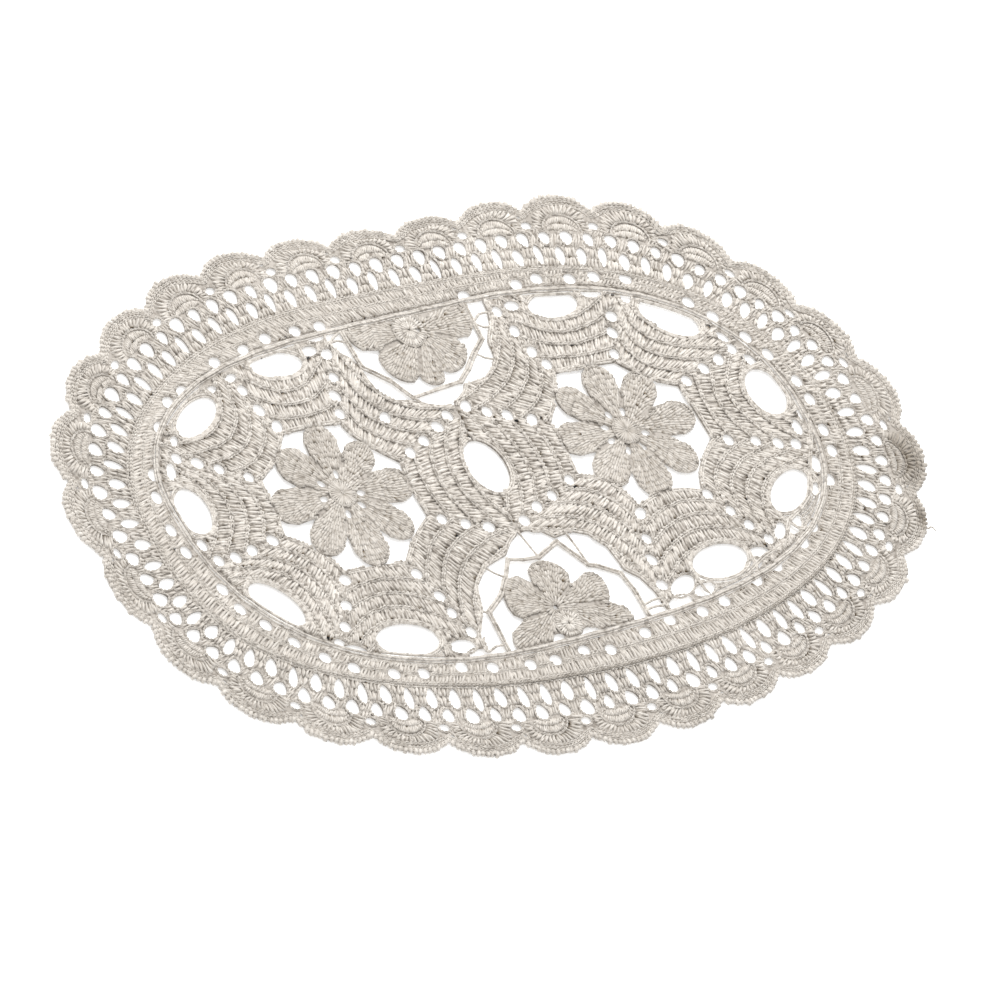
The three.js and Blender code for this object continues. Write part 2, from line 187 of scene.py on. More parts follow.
# First and last number of each run of true flags
def runsOf(flags):
    runs, start = [], None
    for i, flag in enumerate([*flags, False]):
        if flag and start is None:
            start = i
        if not flag and start is not None:
            runs.append((start, i - 1))
            start = None
    return runs


# How uneven the stitches are, in their width's share, their height and their roll
handmade = {"post": (0.1, 0.1, 1.2), "chain": (0.08, 0.05, 0.15)}


# A stitch's seat: both ends in plan with their heights, its width and its roll
def seat(a, b, width, z, roll=0.0, zEnd=None):
    return (a[0], a[1], z, b[0], b[1], z if zEnd is None else zEnd, width, roll)


# Stitches of a row are given by their pitch, their width and their height over the table,
# then how loosely they stand and how far they lean
def postsBetween(low, high, pitch, width, z, looseness=0.12, lean=0.0):
    count = max(2, round((lengthOf(low) + lengthOf(high)) / 2 / pitch))
    feet, tops = middlesOf(low, count), middlesOf(high, count)
    rowWay = unit(np.gradient(tops, axis=0))
    share, lift, turn = handmade["post"]
    seats = []
    for i in range(count):
        sway = chance.normal(0, looseness, 2)
        a = feet[i] + rowWay[i] * sway[0]
        b = tops[i] + rowWay[i] * (sway[1] + lean)
        size = width * (1 + chance.normal(0, share))
        seats.append(seat(a, b, size, z + chance.normal(0, lift), roll=chance.uniform(-turn, turn),
                          zEnd=z + chance.normal(0, lift)))
    return seats


def chainAlong(line, pitch, width, z, looseness=0.08):
    count = max(1, round(lengthOf(line) / pitch))
    points = evenly(line, count + 1) + chance.normal(0, looseness, (count + 1, 2))
    if np.allclose(line[0], line[-1]):
        points[-1] = points[0]
    share, lift, turn = handmade["chain"]
    return [seat(points[i], points[i + 1], width * (1 + chance.normal(0, share)), z + chance.normal(0, lift),
                 chance.normal(0, turn)) for i in range(count)]


def cordAlong(line, pitch, width, z, overlap=0.14):
    count = max(1, round(lengthOf(line) / pitch))
    points = evenly(line, count + 1)
    lap = overlap * np.diff(points, axis=0)
    return [seat(points[i] - lap[i], points[i + 1] + lap[i], width, z) for i in range(count)]


# A hole is its middle, half its length, half its width, the angle of its length, how much
# wider its far end is than its near end, and how pointed its ends are
def eggLine(hole, grow=0.0, count=37):
    x, y, halfLong, halfAcross, angle, flare, point = (*hole, 0.0, 0.0)[:7]
    turns = np.linspace(0, 2 * math.pi, count)
    u = (halfLong + grow) * np.cos(turns)
    v = (halfAcross + grow) * np.sin(turns) * np.abs(np.sin(turns)) ** point * (1 + flare * np.cos(turns))
    return np.stack([x + u * math.cos(angle) - v * math.sin(angle),
                     y + u * math.sin(angle) + v * math.cos(angle)], -1)


def inHoles(points, holes, grow):
    inside = np.zeros(len(points), bool)
    for hole in holes:
        x, y, halfLong, halfAcross, angle, flare, point = (*hole, 0.0, 0.0)[:7]
        dx, dy = points[:, 0] - x, points[:, 1] - y
        u = (dx * math.cos(angle) + dy * math.sin(angle)) / (halfLong + grow)
        v = (-dx * math.sin(angle) + dy * math.cos(angle)) / (halfAcross + grow)
        side = (1 + flare * u) * np.clip(1 - u * u, 0, None) ** ((1 + point) / 2)
        inside |= np.abs(v) < side
    return inside


def clearOf(holes, grow):
    return lambda points: ~inHoles(points, holes, grow)


# Ring of chain round a hole
def ringChain(hole, grow, width, z, pitch=1.9):
    return chainAlong(eggLine(hole, grow), pitch, width, z, looseness=0.04)


# Each stitch is cut back to its longest stretch on the cloth
def trimmed(seats, isCloth, shortest=2.2, samples=13):
    if not seats:
        return []
    rows = np.array(seats)
    steps = np.linspace(0, 1, samples)
    span = rows[:, 3:6] - rows[:, 0:3]
    points = rows[:, None, 0:2] + span[:, None, 0:2] * steps[None, :, None]
    good = isCloth(points.reshape(-1, 2)).reshape(len(rows), samples)
    kept = []
    for row, way, flags in zip(rows, span, good):
        if flags.all():
            kept.append(tuple(row))
            continue
        first, last = max(runsOf(flags), key=lambda run: run[1] - run[0], default=(0, 0))
        if (last - first) / (samples - 1) * np.hypot(way[0], way[1]) >= shortest:
            kept.append((*(row[0:3] + way * steps[first]), *(row[0:3] + way * steps[last]), *row[6:]))
    return kept


# Only the stitches whose middle is on the cloth
def onCloth(seats, isCloth):
    if not seats:
        return []
    rows = np.array(seats)
    good = isCloth((rows[:, 0:2] + rows[:, 3:5]) / 2)
    return [s for s, g in zip(seats, good) if g]


# Stitches modelled once

def addObject(name, data):
    piece = bpy.data.objects.new(name, data)
    bpy.context.scene.collection.objects.link(piece)
    return piece


def selectOnly(*pieces):
    bpy.ops.object.select_all(action="DESELECT")
    for piece in pieces:
        piece.select_set(True)
    if pieces:
        bpy.context.view_layer.objects.active = pieces[0]


# A ply: a thin rod along Z, one long, cut across into short lengths
def addPly(radius, x, cuts, sides):
    selectOnly()
    bpy.ops.mesh.primitive_cylinder_add(vertices=sides, radius=radius, depth=1, location=(x, 0, 0.5))
    ply = bpy.context.object
    bpy.ops.object.transform_apply(location=True, rotation=False, scale=False)
    bpy.ops.object.mode_set(mode="EDIT")
    bm = bmesh.from_edit_mesh(ply.data)
    for edge in bm.edges:
        a, b = edge.verts
        edge.select_set(abs(a.co.z - b.co.z) > 0.5)
    bmesh.update_edit_mesh(ply.data)
    bpy.ops.mesh.subdivide(number_cuts=cuts)
    bpy.ops.object.mode_set(mode="OBJECT")
    return ply


# Moves and scales the ring of a ply that lies at a height
def shapeRing(ply, height, shift, scale):
    selectOnly(ply)
    bpy.ops.object.mode_set(mode="EDIT")
    bpy.ops.mesh.select_all(action="DESELECT")
    bm = bmesh.from_edit_mesh(ply.data)
    ring = [v for v in bm.verts if abs(v.co.z - height) < 0.02]
    middle = sum((v.co for v in ring), Vector()) / len(ring)
    for v in ring:
        v.select_set(True)
    bm.select_flush(True)
    bmesh.update_edit_mesh(ply.data)
    bpy.ops.transform.resize(value=(scale, scale, 1), center_override=middle)
    bpy.ops.transform.translate(value=shift)
    bpy.ops.object.mode_set(mode="OBJECT")


# Each post is darker at its foot: painted shade where it tucks in beside the chain ridge of the row before
postStitch = {"radius": 0.31, "sides": 4, "apart": 0.22, "thickness": (0.6, 1.05, 1.1, 0.85), "turns": 0.5,
              "footShade": 0.9, "footReach": 0.22}
linkStitch = {"radius": 0.29, "sides": 3, "spread": (0.04, 0.26, 0.1), "rise": (-0.14, 0.13, -0.12),
              "thickness": (0.75, 1.1, 0.65), "overlap": 0.24}
ribStitch = {"radius": 0.52, "sides": 4, "thickness": (0.85, 1, 1, 0.85)}


def shapePly(plan, side=0):
    rings = len(plan["thickness"])
    ply = addPly(plan["radius"], side * plan.get("apart", 0), rings - 2, plan["sides"])
    for i, scale in enumerate(plan["thickness"]):
        height = i / (rings - 1)
        shift = (0, 0, 0)
        if "spread" in plan:
            shift = (side * plan["spread"][i], plan["rise"][i], plan["overlap"] * (height - 0.4))
        shapeRing(ply, height, shift, scale)
    return ply


def twoPlies(plan):
    plies = [shapePly(plan, side) for side in (-1, 1)]
    selectOnly(*plies)
    bpy.ops.object.join()
    return plies[0]


def readStitch(piece):
    mesh = piece.data
    groups = []
    for corners in (3, 4):
        chosen = [p for p in mesh.polygons if len(p.vertices) == corners]
        if chosen:
            uv = [mesh.uv_layers[0].data[i].uv[:] for p in chosen for i in p.loop_indices]
            groups.append((np.array([p.vertices[:] for p in chosen]), np.array(uv)))
    co = np.array([v.co[:] for v in mesh.vertices])
    bpy.data.objects.remove(piece)
    return {"co": co, "faces": groups, "shade": np.zeros(len(co))}


# Painted shade: how much darker a stitch is round a height of it
def shadeAt(stitch, height, reach, amount):
    return amount * np.exp(-((stitch["co"][:, 2] - height) / reach) ** 2)


# Tall stitch: two plies that cross over at its waist
def modelPost():
    piece = twoPlies(postStitch)
    twist = piece.modifiers.new("twist", "SIMPLE_DEFORM")
    twist.deform_method = "TWIST"
    twist.deform_axis = "Z"
    twist.angle = postStitch["turns"] * 2 * math.pi
    bpy.ops.object.modifier_apply(modifier="twist")
    stitch = readStitch(piece)
    stitch["shade"] = shadeAt(stitch, 0, postStitch["footReach"], postStitch["footShade"])
    return stitch


post = modelPost()
link = readStitch(twoPlies(linkStitch))     # chain stitch: two plies that open and close into the next
rib = readStitch(shapePly(ribStitch))       # fine rib: one ply, for the smooth close parts
print("stitches modelled:", [sum(len(group[0]) for group in s["faces"]) for s in (post, link, rib)], "faces")

# Yarn

yarnLook = {
    "light": (0.779, 0.738, 0.684), "deep": (0.592, 0.552, 0.501), "patchScale": 28, "patchWeight": 0.9,
    "gapShadeLight": (0.58, 0.54, 0.495), "gapShadeDeep": (0.30, 0.27, 0.235),
    "loopScale": 430, "loopGapShade": (0.5, 0.475, 0.45), "fibreScale": 1900, "fibreGap": (0.62, 0.6, 0.57),
    "fibreDepth": 0.1, "bump": (0.12, 0.0002), "plyScale": 1.6, "plyWobble": 0.6, "plyBump": (0.1, 0.00025),
    "unevenness": 0.2, "footShadeUnevenness": (1.3, 0.8),
}
soiledSpots = [(217, -27, 9, 16, 1.6), (209, -58, 6, 7, 1.8)]    # middle, reach each way and darkness
lowestYarn = 0.04


def newMaterial(name):
    material = bpy.data.materials.new(name)
    material.use_nodes = True
    tree = material.node_tree
    tree.nodes.clear()
    output = tree.nodes.new("ShaderNodeOutputMaterial")
    shader = tree.nodes.new("ShaderNodeBsdfPrincipled")
    tree.links.new(shader.outputs[0], output.inputs[0])
    return material, shader


# Adds a node; each input is a plain value or another node's output
def addNode(tree, kind, inputs, **settings):
    node = tree.nodes.new("ShaderNode" + kind)
    for name, value in settings.items():
        setattr(node, name, value)
    for name, value in inputs.items():
        if isinstance(value, bpy.types.NodeSocket):
            tree.links.new(value, node.inputs[name])
        else:
            node.inputs[name].default_value = value
    return node


# gaps sets how strongly painted shade darkens the small gaps between the loops
def yarnMaterial(name, light, deep, gaps=0.85, plyLines=True, roughness=0.86, sheen=0.2):
    material, shader = newMaterial(name)
    tree = material.node_tree
    place = addNode(tree, "TexCoord", {})

    def noise(scale, detail):
        inputs = {"Vector": place.outputs["Object"], "Scale": yarnLook[scale], "Detail": detail}
        return addNode(tree, "TexNoise", inputs).outputs["Fac"]

    patches = noise("patchScale", 3)        # slow drift of colour over the mat
    fluff = noise("fibreScale", 4)
    loops = noise("loopScale", 1)           # small gaps between the loops, darkened below as painted shade
    tone = addNode(tree, "Attribute", {}, attribute_name="tone").outputs["Fac"]
    blend = addNode(tree, "Math", {0: patches, 1: yarnLook["patchWeight"], 2: tone}, operation="MULTIPLY_ADD")
    colour = addNode(tree, "Mix", {"Factor": blend.outputs[0], "A": (*deep, 1), "B": (*light, 1)},
                     data_type="RGBA", clamp_factor=False)
    # The first pass paints shade into the small gaps between the loops, the second darkens the fibres
    for depth, pattern, dark, end in ((gaps, loops, yarnLook["loopGapShade"], 0.52),
                                      (yarnLook["fibreDepth"], fluff, yarnLook["fibreGap"], 0.62)):
        ramp = addNode(tree, "ValToRGB", {"Fac": pattern})
        low, high = ramp.color_ramp.elements
        low.position, low.color = 0.3, (*dark, 1)
        high.position, high.color = end, (1, 1, 1, 1)
        inputs = {"Factor": depth, "A": colour.outputs["Result"], "B": ramp.outputs["Color"]}
        colour = addNode(tree, "Mix", inputs, data_type="RGBA", blend_type="MULTIPLY")
    tree.links.new(colour.outputs["Result"], shader.inputs["Base Color"])

    def bumped(strength, distance, **inputs):
        return addNode(tree, "Bump", {"Strength": strength, "Distance": distance, **inputs}).outputs["Normal"]

    height = addNode(tree, "Math", {0: loops, 1: 1, 2: fluff}, operation="MULTIPLY_ADD").outputs[0]
    normal = bumped(*yarnLook["bump"], Height=height)
    if plyLines:                    # threads of each ply, wound along it
        wave = addNode(tree, "TexWave", {"Vector": place.outputs["UV"], "Scale": yarnLook["plyScale"],
                                         "Distortion": yarnLook["plyWobble"]}, bands_direction="DIAGONAL")
        normal = bumped(*yarnLook["plyBump"], Height=wave.outputs["Fac"], Normal=normal)
    tree.links.new(normal, shader.inputs["Normal"])
    for socket, value in (("Roughness", roughness), ("Sheen Weight", sheen), ("Sheen Roughness", 0.6),
                          ("Specular IOR Level", 0.25)):
        shader.inputs[socket].default_value = value
    return material


yarn = yarnMaterial("ecruYarn", yarnLook["light"], yarnLook["deep"])
petalYarn = yarnMaterial("petalYarn", yarnLook["light"], yarnLook["deep"], gaps=0.4)
borderYarn = yarnMaterial("borderYarn", yarnLook["light"], yarnLook["deep"], gaps=0.35)
# Dark colour of the sheets under the stitches: painted shade for the gaps between them
gapShadeMaterial = yarnMaterial("innerStrands", yarnLook["gapShadeLight"], yarnLook["gapShadeDeep"], plyLines=False,
                      roughness=0.95, sheen=0.1)


# Gentle unevenness of the flat mat, in millimetres
def swell(points):
    x, y = points[:, 0], points[:, 1]
    return 0.14 * np.sin(x / 21 + 0.7) * np.cos(y / 17 - 0.4) + 0.1 * np.sin((x + y) / 9.3)


# The yarn is a little darker at one tip of the mat
def soiling(rows):
    return sum(dark * np.exp(-((rows[:, 0] - x) / reachX) ** 2 - ((rows[:, 1] - y) / reachY) ** 2)
               for x, y, reachX, reachY, dark in soiledSpots)


# One mesh of many stitches; parts are (stitch, seats, darker by) with the last left out for none. Each
# stitch's tone holds its random tone, the darker spots, and painted shade and light: the foot shade, the
# seam's shadow and the lighter rosette
def sew(name, *parts, shade=0.0, material=yarn):
    verts, faces, uvs, tonesAndShades, base = [], [], [], [], 0
    for stitch, seats, *darker in parts:
        if not seats:
            continue
        rows = np.array(seats)
        a, b, width, roll = rows[:, 0:3].copy(), rows[:, 3:6].copy(), rows[:, 6:7], rows[:, 7:8]
        a[:, 2] += swell(a)
        b[:, 2] += swell(b)
        along = b - a
        across = unit(np.concatenate([leftOf(along[:, 0:2]), np.zeros((len(rows), 1))], -1))
        up = unit(np.cross(along, across))
        x, y, z = stitch["co"].T
        turnedX = np.cos(roll) * x - np.sin(roll) * y
        turnedY = np.sin(roll) * x + np.cos(roll) * y
        co = (a[:, None] + along[:, None] * z[:, None] + across[:, None] * (turnedX * width)[:, :, None]
              + up[:, None] * (turnedY * width)[:, :, None])
        co[:, :, 0:2] += matShift
        co[:, :, 2] = np.maximum(co[:, :, 2], lowestYarn)     # rests on the table
        verts.append(co.reshape(-1, 3) * mm)
        n = len(x)
        shifts = (np.arange(len(rows)) * n)[:, None, None] + base
        for corners, uv in stitch["faces"]:
            faces += (corners[None] + shifts).reshape(-1, corners.shape[1]).tolist()
            uvs.append(np.tile(uv, (len(rows), 1)))
        tone = chance.normal(-shade - sum(darker), yarnLook["unevenness"], len(rows)) - soiling(rows)
        # Painted shade at each stitch's foot, deeper on some stitches than on others
        feet = np.outer(chance.gamma(*yarnLook["footShadeUnevenness"], len(rows)), stitch["shade"])
        tonesAndShades.append(np.repeat(tone, n) - feet.ravel())
        base += n * len(rows)
    mesh = bpy.data.meshes.new(name)
    mesh.from_pydata(np.concatenate(verts).tolist(), [], faces)
    mesh.uv_layers.new(name="yarn").data.foreach_set("uv", np.concatenate(uvs).ravel())
    mesh.attributes.new("tone", "FLOAT", "POINT").data.foreach_set("value", np.concatenate(tonesAndShades))
    mesh.shade_smooth()
    mesh.materials.append(material)
    piece = addObject(name, mesh)
    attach(piece, "root")
    return piece


# Cloth sheets, coloured as painted shade

clothPlan = {"thickness": 0.3, "overlap": 0.2, "holeCorners": 16, "cutFrom": -2, "cutTo": 6}


# Thin sheet in the outline of a solid, a touch wider so that neighbours overlap, with its holes cut; its dark
# colour is painted shade that shows in the gaps between the stitches
def layCloth(node, middle, holes=(), pieces=()):
    source = frame["nodes"][node]
    sheet = source.copy()
    sheet.data = source.data.copy()
    sheet.name = node + "_cloth"
    sheet.data.name = sheet.name
    bpy.context.scene.collection.objects.link(sheet)
    for key in list(sheet.keys()):
        del sheet[key]
    sheet.parent = None
    selectOnly(sheet)
    bpy.ops.object.mode_set(mode="EDIT")
    bpy.ops.mesh.select_all(action="SELECT")
    bpy.ops.mesh.remove_doubles(threshold=0.00001)
    bpy.ops.mesh.dissolve_limited(angle_limit=0.01)
    bpy.ops.transform.resize(value=(1, 1, 2))
    bpy.ops.transform.shrink_fatten(value=clothPlan["overlap"] * mm, use_even_offset=True)
    bpy.ops.object.mode_set(mode="OBJECT")
    heights = [v.co.z for v in sheet.data.vertices]
    low, high = min(heights), max(heights)
    for v in sheet.data.vertices:
        share = (v.co.z - low) / (high - low)
        v.co.z = (middle + (share - 0.5) * clothPlan["thickness"]) * mm
    if holes:
        cutHoles(sheet, holes)
    sheet.data.materials.clear()
    sheet.data.materials.append(gapShadeMaterial)
    sheet.data.shade_flat()
    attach(sheet, "root")
    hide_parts(node)


def cutHoles(sheet, holes):
    corners = clothPlan["holeCorners"]
    verts, faces = [], []
    for hole in holes:
        ring = (eggLine(hole, count=corners + 1)[:-1] + matShift) * mm
        low = [len(verts) + i for i in range(corners)]
        high = [i + corners for i in low]
        verts += [(x, y, z * mm) for z in (clothPlan["cutFrom"], clothPlan["cutTo"]) for x, y in ring]
        faces += [low[::-1], high, *zip(low, low[1:] + low[:1], high[1:] + high[:1], high)]
    mesh = bpy.data.meshes.new("holeCutters")
    mesh.from_pydata(verts, [], faces)
    cutter = addObject("holeCutters", mesh)
    selectOnly(sheet)
    cut = sheet.modifiers.new("holes", "BOOLEAN")
    cut.operation = "DIFFERENCE"
    cut.solver = "EXACT"
    cut.use_self = True         # neighbouring holes may run together
    cut.object = cutter
    bpy.ops.object.modifier_apply(modifier="holes")
    bpy.data.objects.remove(cutter)


# Triangles of a solid's top, in plan
def topTriangles(node):
    mesh = frame["nodes"][node].data
    mesh.calc_loop_triangles()
    co = np.array([v.co[:] for v in mesh.vertices]) / mm
    tris = co[np.array([t.vertices[:] for t in mesh.loop_triangles])]
    return tris[(tris[:, :, 2] > co[:, 2].max() - 0.01).all(1)][:, :, 0:2]


def sideOf(points, a, b):
    return (points[..., 0] - b[0]) * (a[1] - b[1]) - (a[0] - b[0]) * (points[..., 1] - b[1])


# Tests points in plan against the top of a solid
def clothTest(node, holes=(), grow=0.0):
    tris = topTriangles(node) - matShift

    def isCloth(points):
        found = np.zeros(len(points), bool)
        for a, b, c in tris:
            sides = np.stack([sideOf(points, a, b), sideOf(points, b, c), sideOf(points, c, a)])
            found |= (sides >= 0).all(0) | (sides <= 0).all(0)
        return found & ~inHoles(points, holes, grow)
    return isCloth


# Outlines of a solid in plan, each walked with the cloth on its left
def outlinesOf(node):
    ways = {}
    for tri in np.round(topTriangles(node), 3):
        corners = [tuple(corner) for corner in tri]
        if sideOf(tri[2], tri[1], tri[0]) > 0:
            corners.reverse()
        for a, b in zip(corners, corners[1:] + corners[:1]):
            if (b, a) in ways:
                del ways[(b, a)]
            else:
                ways[(a, b)] = True
    following = {a: b for a, b in ways}
    loops = []
    while following:
        loop = [next(iter(following))]
        while loop[-1] in following:
            loop.append(following.pop(loop[-1]))
        loops.append(np.array(loop) - matShift)
    return loops


# The free edges of a solid: stretches of its outlines with no neighbour beside them
def freeEdges(node, inset, beyond=1.3, shortest=4.0, step=0.8):
    edges = []
    for loop in outlinesOf(node):
        count = max(12, int(lengthOf(loop) / step))
        points = evenly(loop, count + 1)[:-1]
        inwards = leftOf(unit(np.roll(points, -2, axis=0) - np.roll(points, 2, axis=0)))
        free = ~onMat(points - inwards * beyond)
        line = points + inwards * inset
        if free.all():
            edges.append(np.concatenate([line, line[:1]]))
            continue
        first = int(np.argmin(free))
        line, free = np.roll(line, -first, axis=0), np.roll(free, -first)
        stretches = [line[max(0, start - 1):end + 2] for start, end in runsOf(free)]
        edges += [edge for edge in stretches if len(edge) > 2 and lengthOf(edge) > shortest]
    return edges


def rimCord(node, inset, pitch, width, z):
    return [s for edge in freeEdges(node, inset) for s in cordAlong(edge, pitch, width, z)]


allTests = [clothTest(node) for node in frame["nodes"]]


def onMat(points):
    return np.any([test(points) for test in allTests], axis=0)


def offMat(seats):
    return onCloth(seats, lambda points: ~onMat(points))


# Scallop edging

edging = {
    "discPlace": 0.48, "discDepth": 9.7, "discWide": 8.5, "discDeep": 6.6, "discRibs": (17, 0.96),
    "ribFoot": (0.85, -0.8), "ribWidth": 1.45, "ribZ": 1.05, "ribLift": 0.04, "ridge": 1.3,
    "ridgeTurn": (-4, 184), "ridgeChain": (2.0, 1.3, 1.35), "post": (1.95, 1.9, 1.1, 0.1),
    "postGap": (0.4, 0.3), "postTop": 4.9,
    "fill": (12.4, 8.2, 1.6, 1.45, 0.95, 0.15), "cordDepths": (0.85, 2.5, 4.15), "cordDip": 0.25,
    "cord": (2.1, 1.9), "cordZ": (1.15, 1.25, 1.15), "cordLoose": 0.16, "footRing": (0.55, 1.4, 1.25),
    "bumpDepths": (1.6, -0.2), "bump": (2.5, 2.2, 0.95, 0.25), "bumpOut": (0.3, 0.35), "clear": 0.45,
    "discClear": 0.6, "looseEnd": [(203, -58), (206, -61), (209.5, -62.5), (212, -61.5), (213, -64)],
    "looseYarn": (1.6, 0.7, 0.8), "shade": 0.35, "clothZ": 0.9, "flat": (1.18, 0.0175),
}


allRound = np.linspace(0, scallops["count"], 1200)


# Row of posts right round the border, between two depths
def fillRow(fromDepth, toDepth, *stitch):
    return postsBetween(borderAt(allRound, fromDepth), borderAt(allRound, toDepth), *stitch)


# One scallop: a smooth disc, a ridge of chain round it and tall stitches out to the edge
def layFan(f):
    wide, deep, ridge = edging["discWide"], edging["discDeep"], edging["ridge"]
    centre = borderPoint(f + edging["discPlace"], edging["discDepth"])
    outward = unit(borderPoint(f + edging["discPlace"], 0) - centre)
    across = leftOf(outward)

    def spot(u, v):
        return centre + np.outer(u, across) + np.outer(v, outward)

    def angleOf(ways):
        return np.arctan2(ways @ outward, ways @ across)

    count, reach = edging["discRibs"]
    ways = np.linspace(-reach, reach, count)
    footWide, footAt = edging["ribFoot"]
    posts = []
    feet = spot(wide * footWide * ways, np.full(count, footAt))
    tops = spot(wide * ways, deep * np.sqrt(1 - ways ** 2))
    for share in (0, 1):
        posts += [seat(a + (b - a) * share / 2, b + (a - b) * (1 - share) / 2, edging["ribWidth"],
                       edging["ribZ"] + chance.normal(0, edging["ribLift"]), roll=chance.uniform(-1, 1))
                  for a, b in zip(feet, tops)]
    turn = np.radians(np.linspace(*edging["ridgeTurn"], 60))
    cos, sin = np.cos(turn), np.sin(turn)
    rim = chainAlong(spot((wide + ridge) * cos, (deep + ridge) * sin), *edging["ridgeChain"])
    sideDepths = np.linspace(edging["discDepth"] + 1, 0, 6)
    loop = np.concatenate([
        borderAt(np.full(6, float(f)), sideDepths),
        fanLine(np.linspace(f, f + 1, 25)[1:-1], 0),
        borderAt(np.full(6, f + 1.0), sideDepths[::-1]),
    ]) - centre
    loop = loop[np.argsort(angleOf(loop))]
    sideGap, topGap = edging["postGap"]
    inner = spot((wide + ridge + sideGap) * cos, (deep + ridge + topGap) * sin)
    way = inner - centre
    edge = np.interp(angleOf(way), angleOf(loop), np.hypot(*loop.T))
    edge = np.maximum(edge - edging["postTop"] * np.clip(sin * 3, 0.1, 1), np.hypot(*way.T) + 0.4)
    posts += postsBetween(inner, centre + unit(way) * edge[:, None], *edging["post"])
    return posts, rim, (*centre, deep, wide, math.atan2(outward[1], outward[0]))


def makeEdging(arches, feet):
    holes = feet + arches
    clear = clearOf(holes, edging["clear"])
    posts, rims, discs = [], [], []
    for f in range(scallops["count"]):
        fanPosts, rim, disc = layFan(f)
        posts += fanPosts
        rims += rim
        discs.append(disc)
    clearOfDiscs = clearOf(discs, edging["discClear"])
    fill = trimmed(fillRow(*edging["fill"]), lambda points: clear(points) & clearOfDiscs(points))
    posts = trimmed(posts, clear) + fill
    rims = onCloth(rims, clear)
    cords = []
    places = np.linspace(0, scallops["count"], scallops["count"] * 24 + 1)
    fade = 1 - edging["cordDip"] * np.abs(2 * np.mod(places, 1) - 1) ** 6
    for depth, z in zip(edging["cordDepths"], edging["cordZ"]):
        cords += chainAlong(fanLine(places, depth * fade), *edging["cord"], z, edging["cordLoose"])
    for hole in feet:
        rims += ringChain(hole, *edging["footRing"])
    low, high = (fanLine(places, depth) for depth in edging["bumpDepths"])
    bumps = []
    for row in postsBetween(low, high, *edging["bump"]):
        foot, top = np.array(row[0:2]), np.array(row[3:5])
        bumps.append((*row[0:3], *(top + unit(top - foot) * chance.normal(*edging["bumpOut"])), *row[5:]))
    fanPiece = sew("scallop_fans", (post, posts), (link, rims), shade=edging["shade"], material=borderYarn)
    tail = cordAlong(edging["looseEnd"], *edging["looseYarn"])
    cordPiece = sew("scallop_cords", (link, cords), (rib, bumps + tail), shade=edging["shade"],
                    material=borderYarn)
    layCloth("scallop_edging", edging["clothZ"], holes, (fanPiece, cordPiece))


# Lattice band
lattice = {
    "perScallop": 3, "phase": 0.28, "depth": 22.4, "halfLong": 4.9, "halfAcross": 2.45, "slit": (0.2, 0.3),
    "archDepth": 13.9, "archLong": 3.8, "archAcross": 3.2, "arch": (0.3, 0.12), "endSmaller": 0.14,
    "footDepth": 7.2, "foot": (2.9, 1.9), "tipDepth": 2.6, "tip": (1.4, 1.0), "lowerWider": 0.12,
    "cluster": ((0.125, 28.2), (0.105, 23.6), (0.08, 18.7)), "post": (1.95, 1.8, 1.15, 0.25),
    "fill": (18.9, 11.9, 1.55, 1.4, 1.0, 0.2), "slitRing": (0.6, 1.2, 1.3), "archRing": (0.65, 1.3, 1.4),
    "edgeDepth": 28.5, "edgeChain": (2.0, 1.9, 1.3, 0.14), "clear": 0.4, "shade": 0.3, "clothZ": 0.85,
    "flat": (1.09, 0.0172),
    "slitSway": (0.5, 0.08, 0.14, 0.1), "archSway": (0.3, 0.07, 0.1, 0.25),     # depth, length, width, angle
}


# Holes of the border: the slits, the arches that open outside them, and those between the fans
def borderHoles():
    slits, arches, feet = [], [], []
    slitDepth, slitLong, slitAcross, slitTurn = lattice["slitSway"]
    archDepth, archLong, archAcross, archTurn = lattice["archSway"]
    perScallop = lattice["perScallop"]
    for i in range(scallops["count"] * perScallop):
        place = (i + lattice["phase"] * perScallop) / perScallop
        middle = place + 0.5 / perScallop
        uneven, size = math.sin(i * 2.4), 1 + archLong * math.sin(i * 3.7)
        end = math.cos(2 * math.pi * (place + scallops["firstFoot"]) / scallops["count"])
        size *= 1 - lattice["endSmaller"] * max(0.0, end)
        slit = borderPoint(place, lattice["depth"] - slitDepth * uneven)
        arch = borderPoint(middle, lattice["archDepth"] + archDepth * uneven)
        wider = 1 + lattice["lowerWider"] * min(max(-slit[1] / 100, 0), 1)
        slits.append((*slit, wider * lattice["halfLong"] * (1 + slitLong * uneven),
                      wider * lattice["halfAcross"] * (1 - slitAcross * uneven),
                      borderAngle(place, 20) - math.pi / 2 + slitTurn * math.sin(i * 5.1), *lattice["slit"]))
        arches.append((*arch, size * lattice["archLong"],
                       lattice["archAcross"] * (size - archAcross * uneven),
                       borderAngle(middle, 14) - math.pi / 2 + archTurn * math.sin(i * 1.9),
                       *lattice["arch"]))
    for f in range(scallops["count"]):
        feet.append((*borderPoint(f, lattice["footDepth"]), *lattice["foot"], borderAngle(f, 7)))
        if f % 3 != 1:
            feet.append((*borderPoint(f + 0.07, lattice["tipDepth"]), *lattice["tip"], borderAngle(f, 3)))
    return slits, arches, feet


def makeLattice(slits, arches):
    posts, links = [], []
    for i in range(len(slits)):
        middle = (i + lattice["phase"] * lattice["perScallop"] + 0.5) / lattice["perScallop"]
        lines = [borderAt(np.linspace(middle - half, middle + half, 9), depth)
                 for half, depth in lattice["cluster"]]
        for low, high in zip(lines[:-1], lines[1:]):
            posts += postsBetween(low, high, *lattice["post"])
    posts += fillRow(*lattice["fill"])
    isCloth = clearOf(slits + arches, lattice["clear"])
    for holes, ring in ((slits, lattice["slitRing"]), (arches, lattice["archRing"])):
        for hole in holes:
            links += ringChain(hole, *ring)
    links = onCloth(links, isCloth)
    links += chainAlong(borderAt(allRound, lattice["edgeDepth"]), *lattice["edgeChain"])
    piece = sew("lattice_stitches", (post, trimmed(posts, isCloth)), (link, links), shade=lattice["shade"],
                material=borderYarn)
    layCloth("lattice_band", lattice["clothZ"], slits + arches, (piece,))


# Post band and inner cord

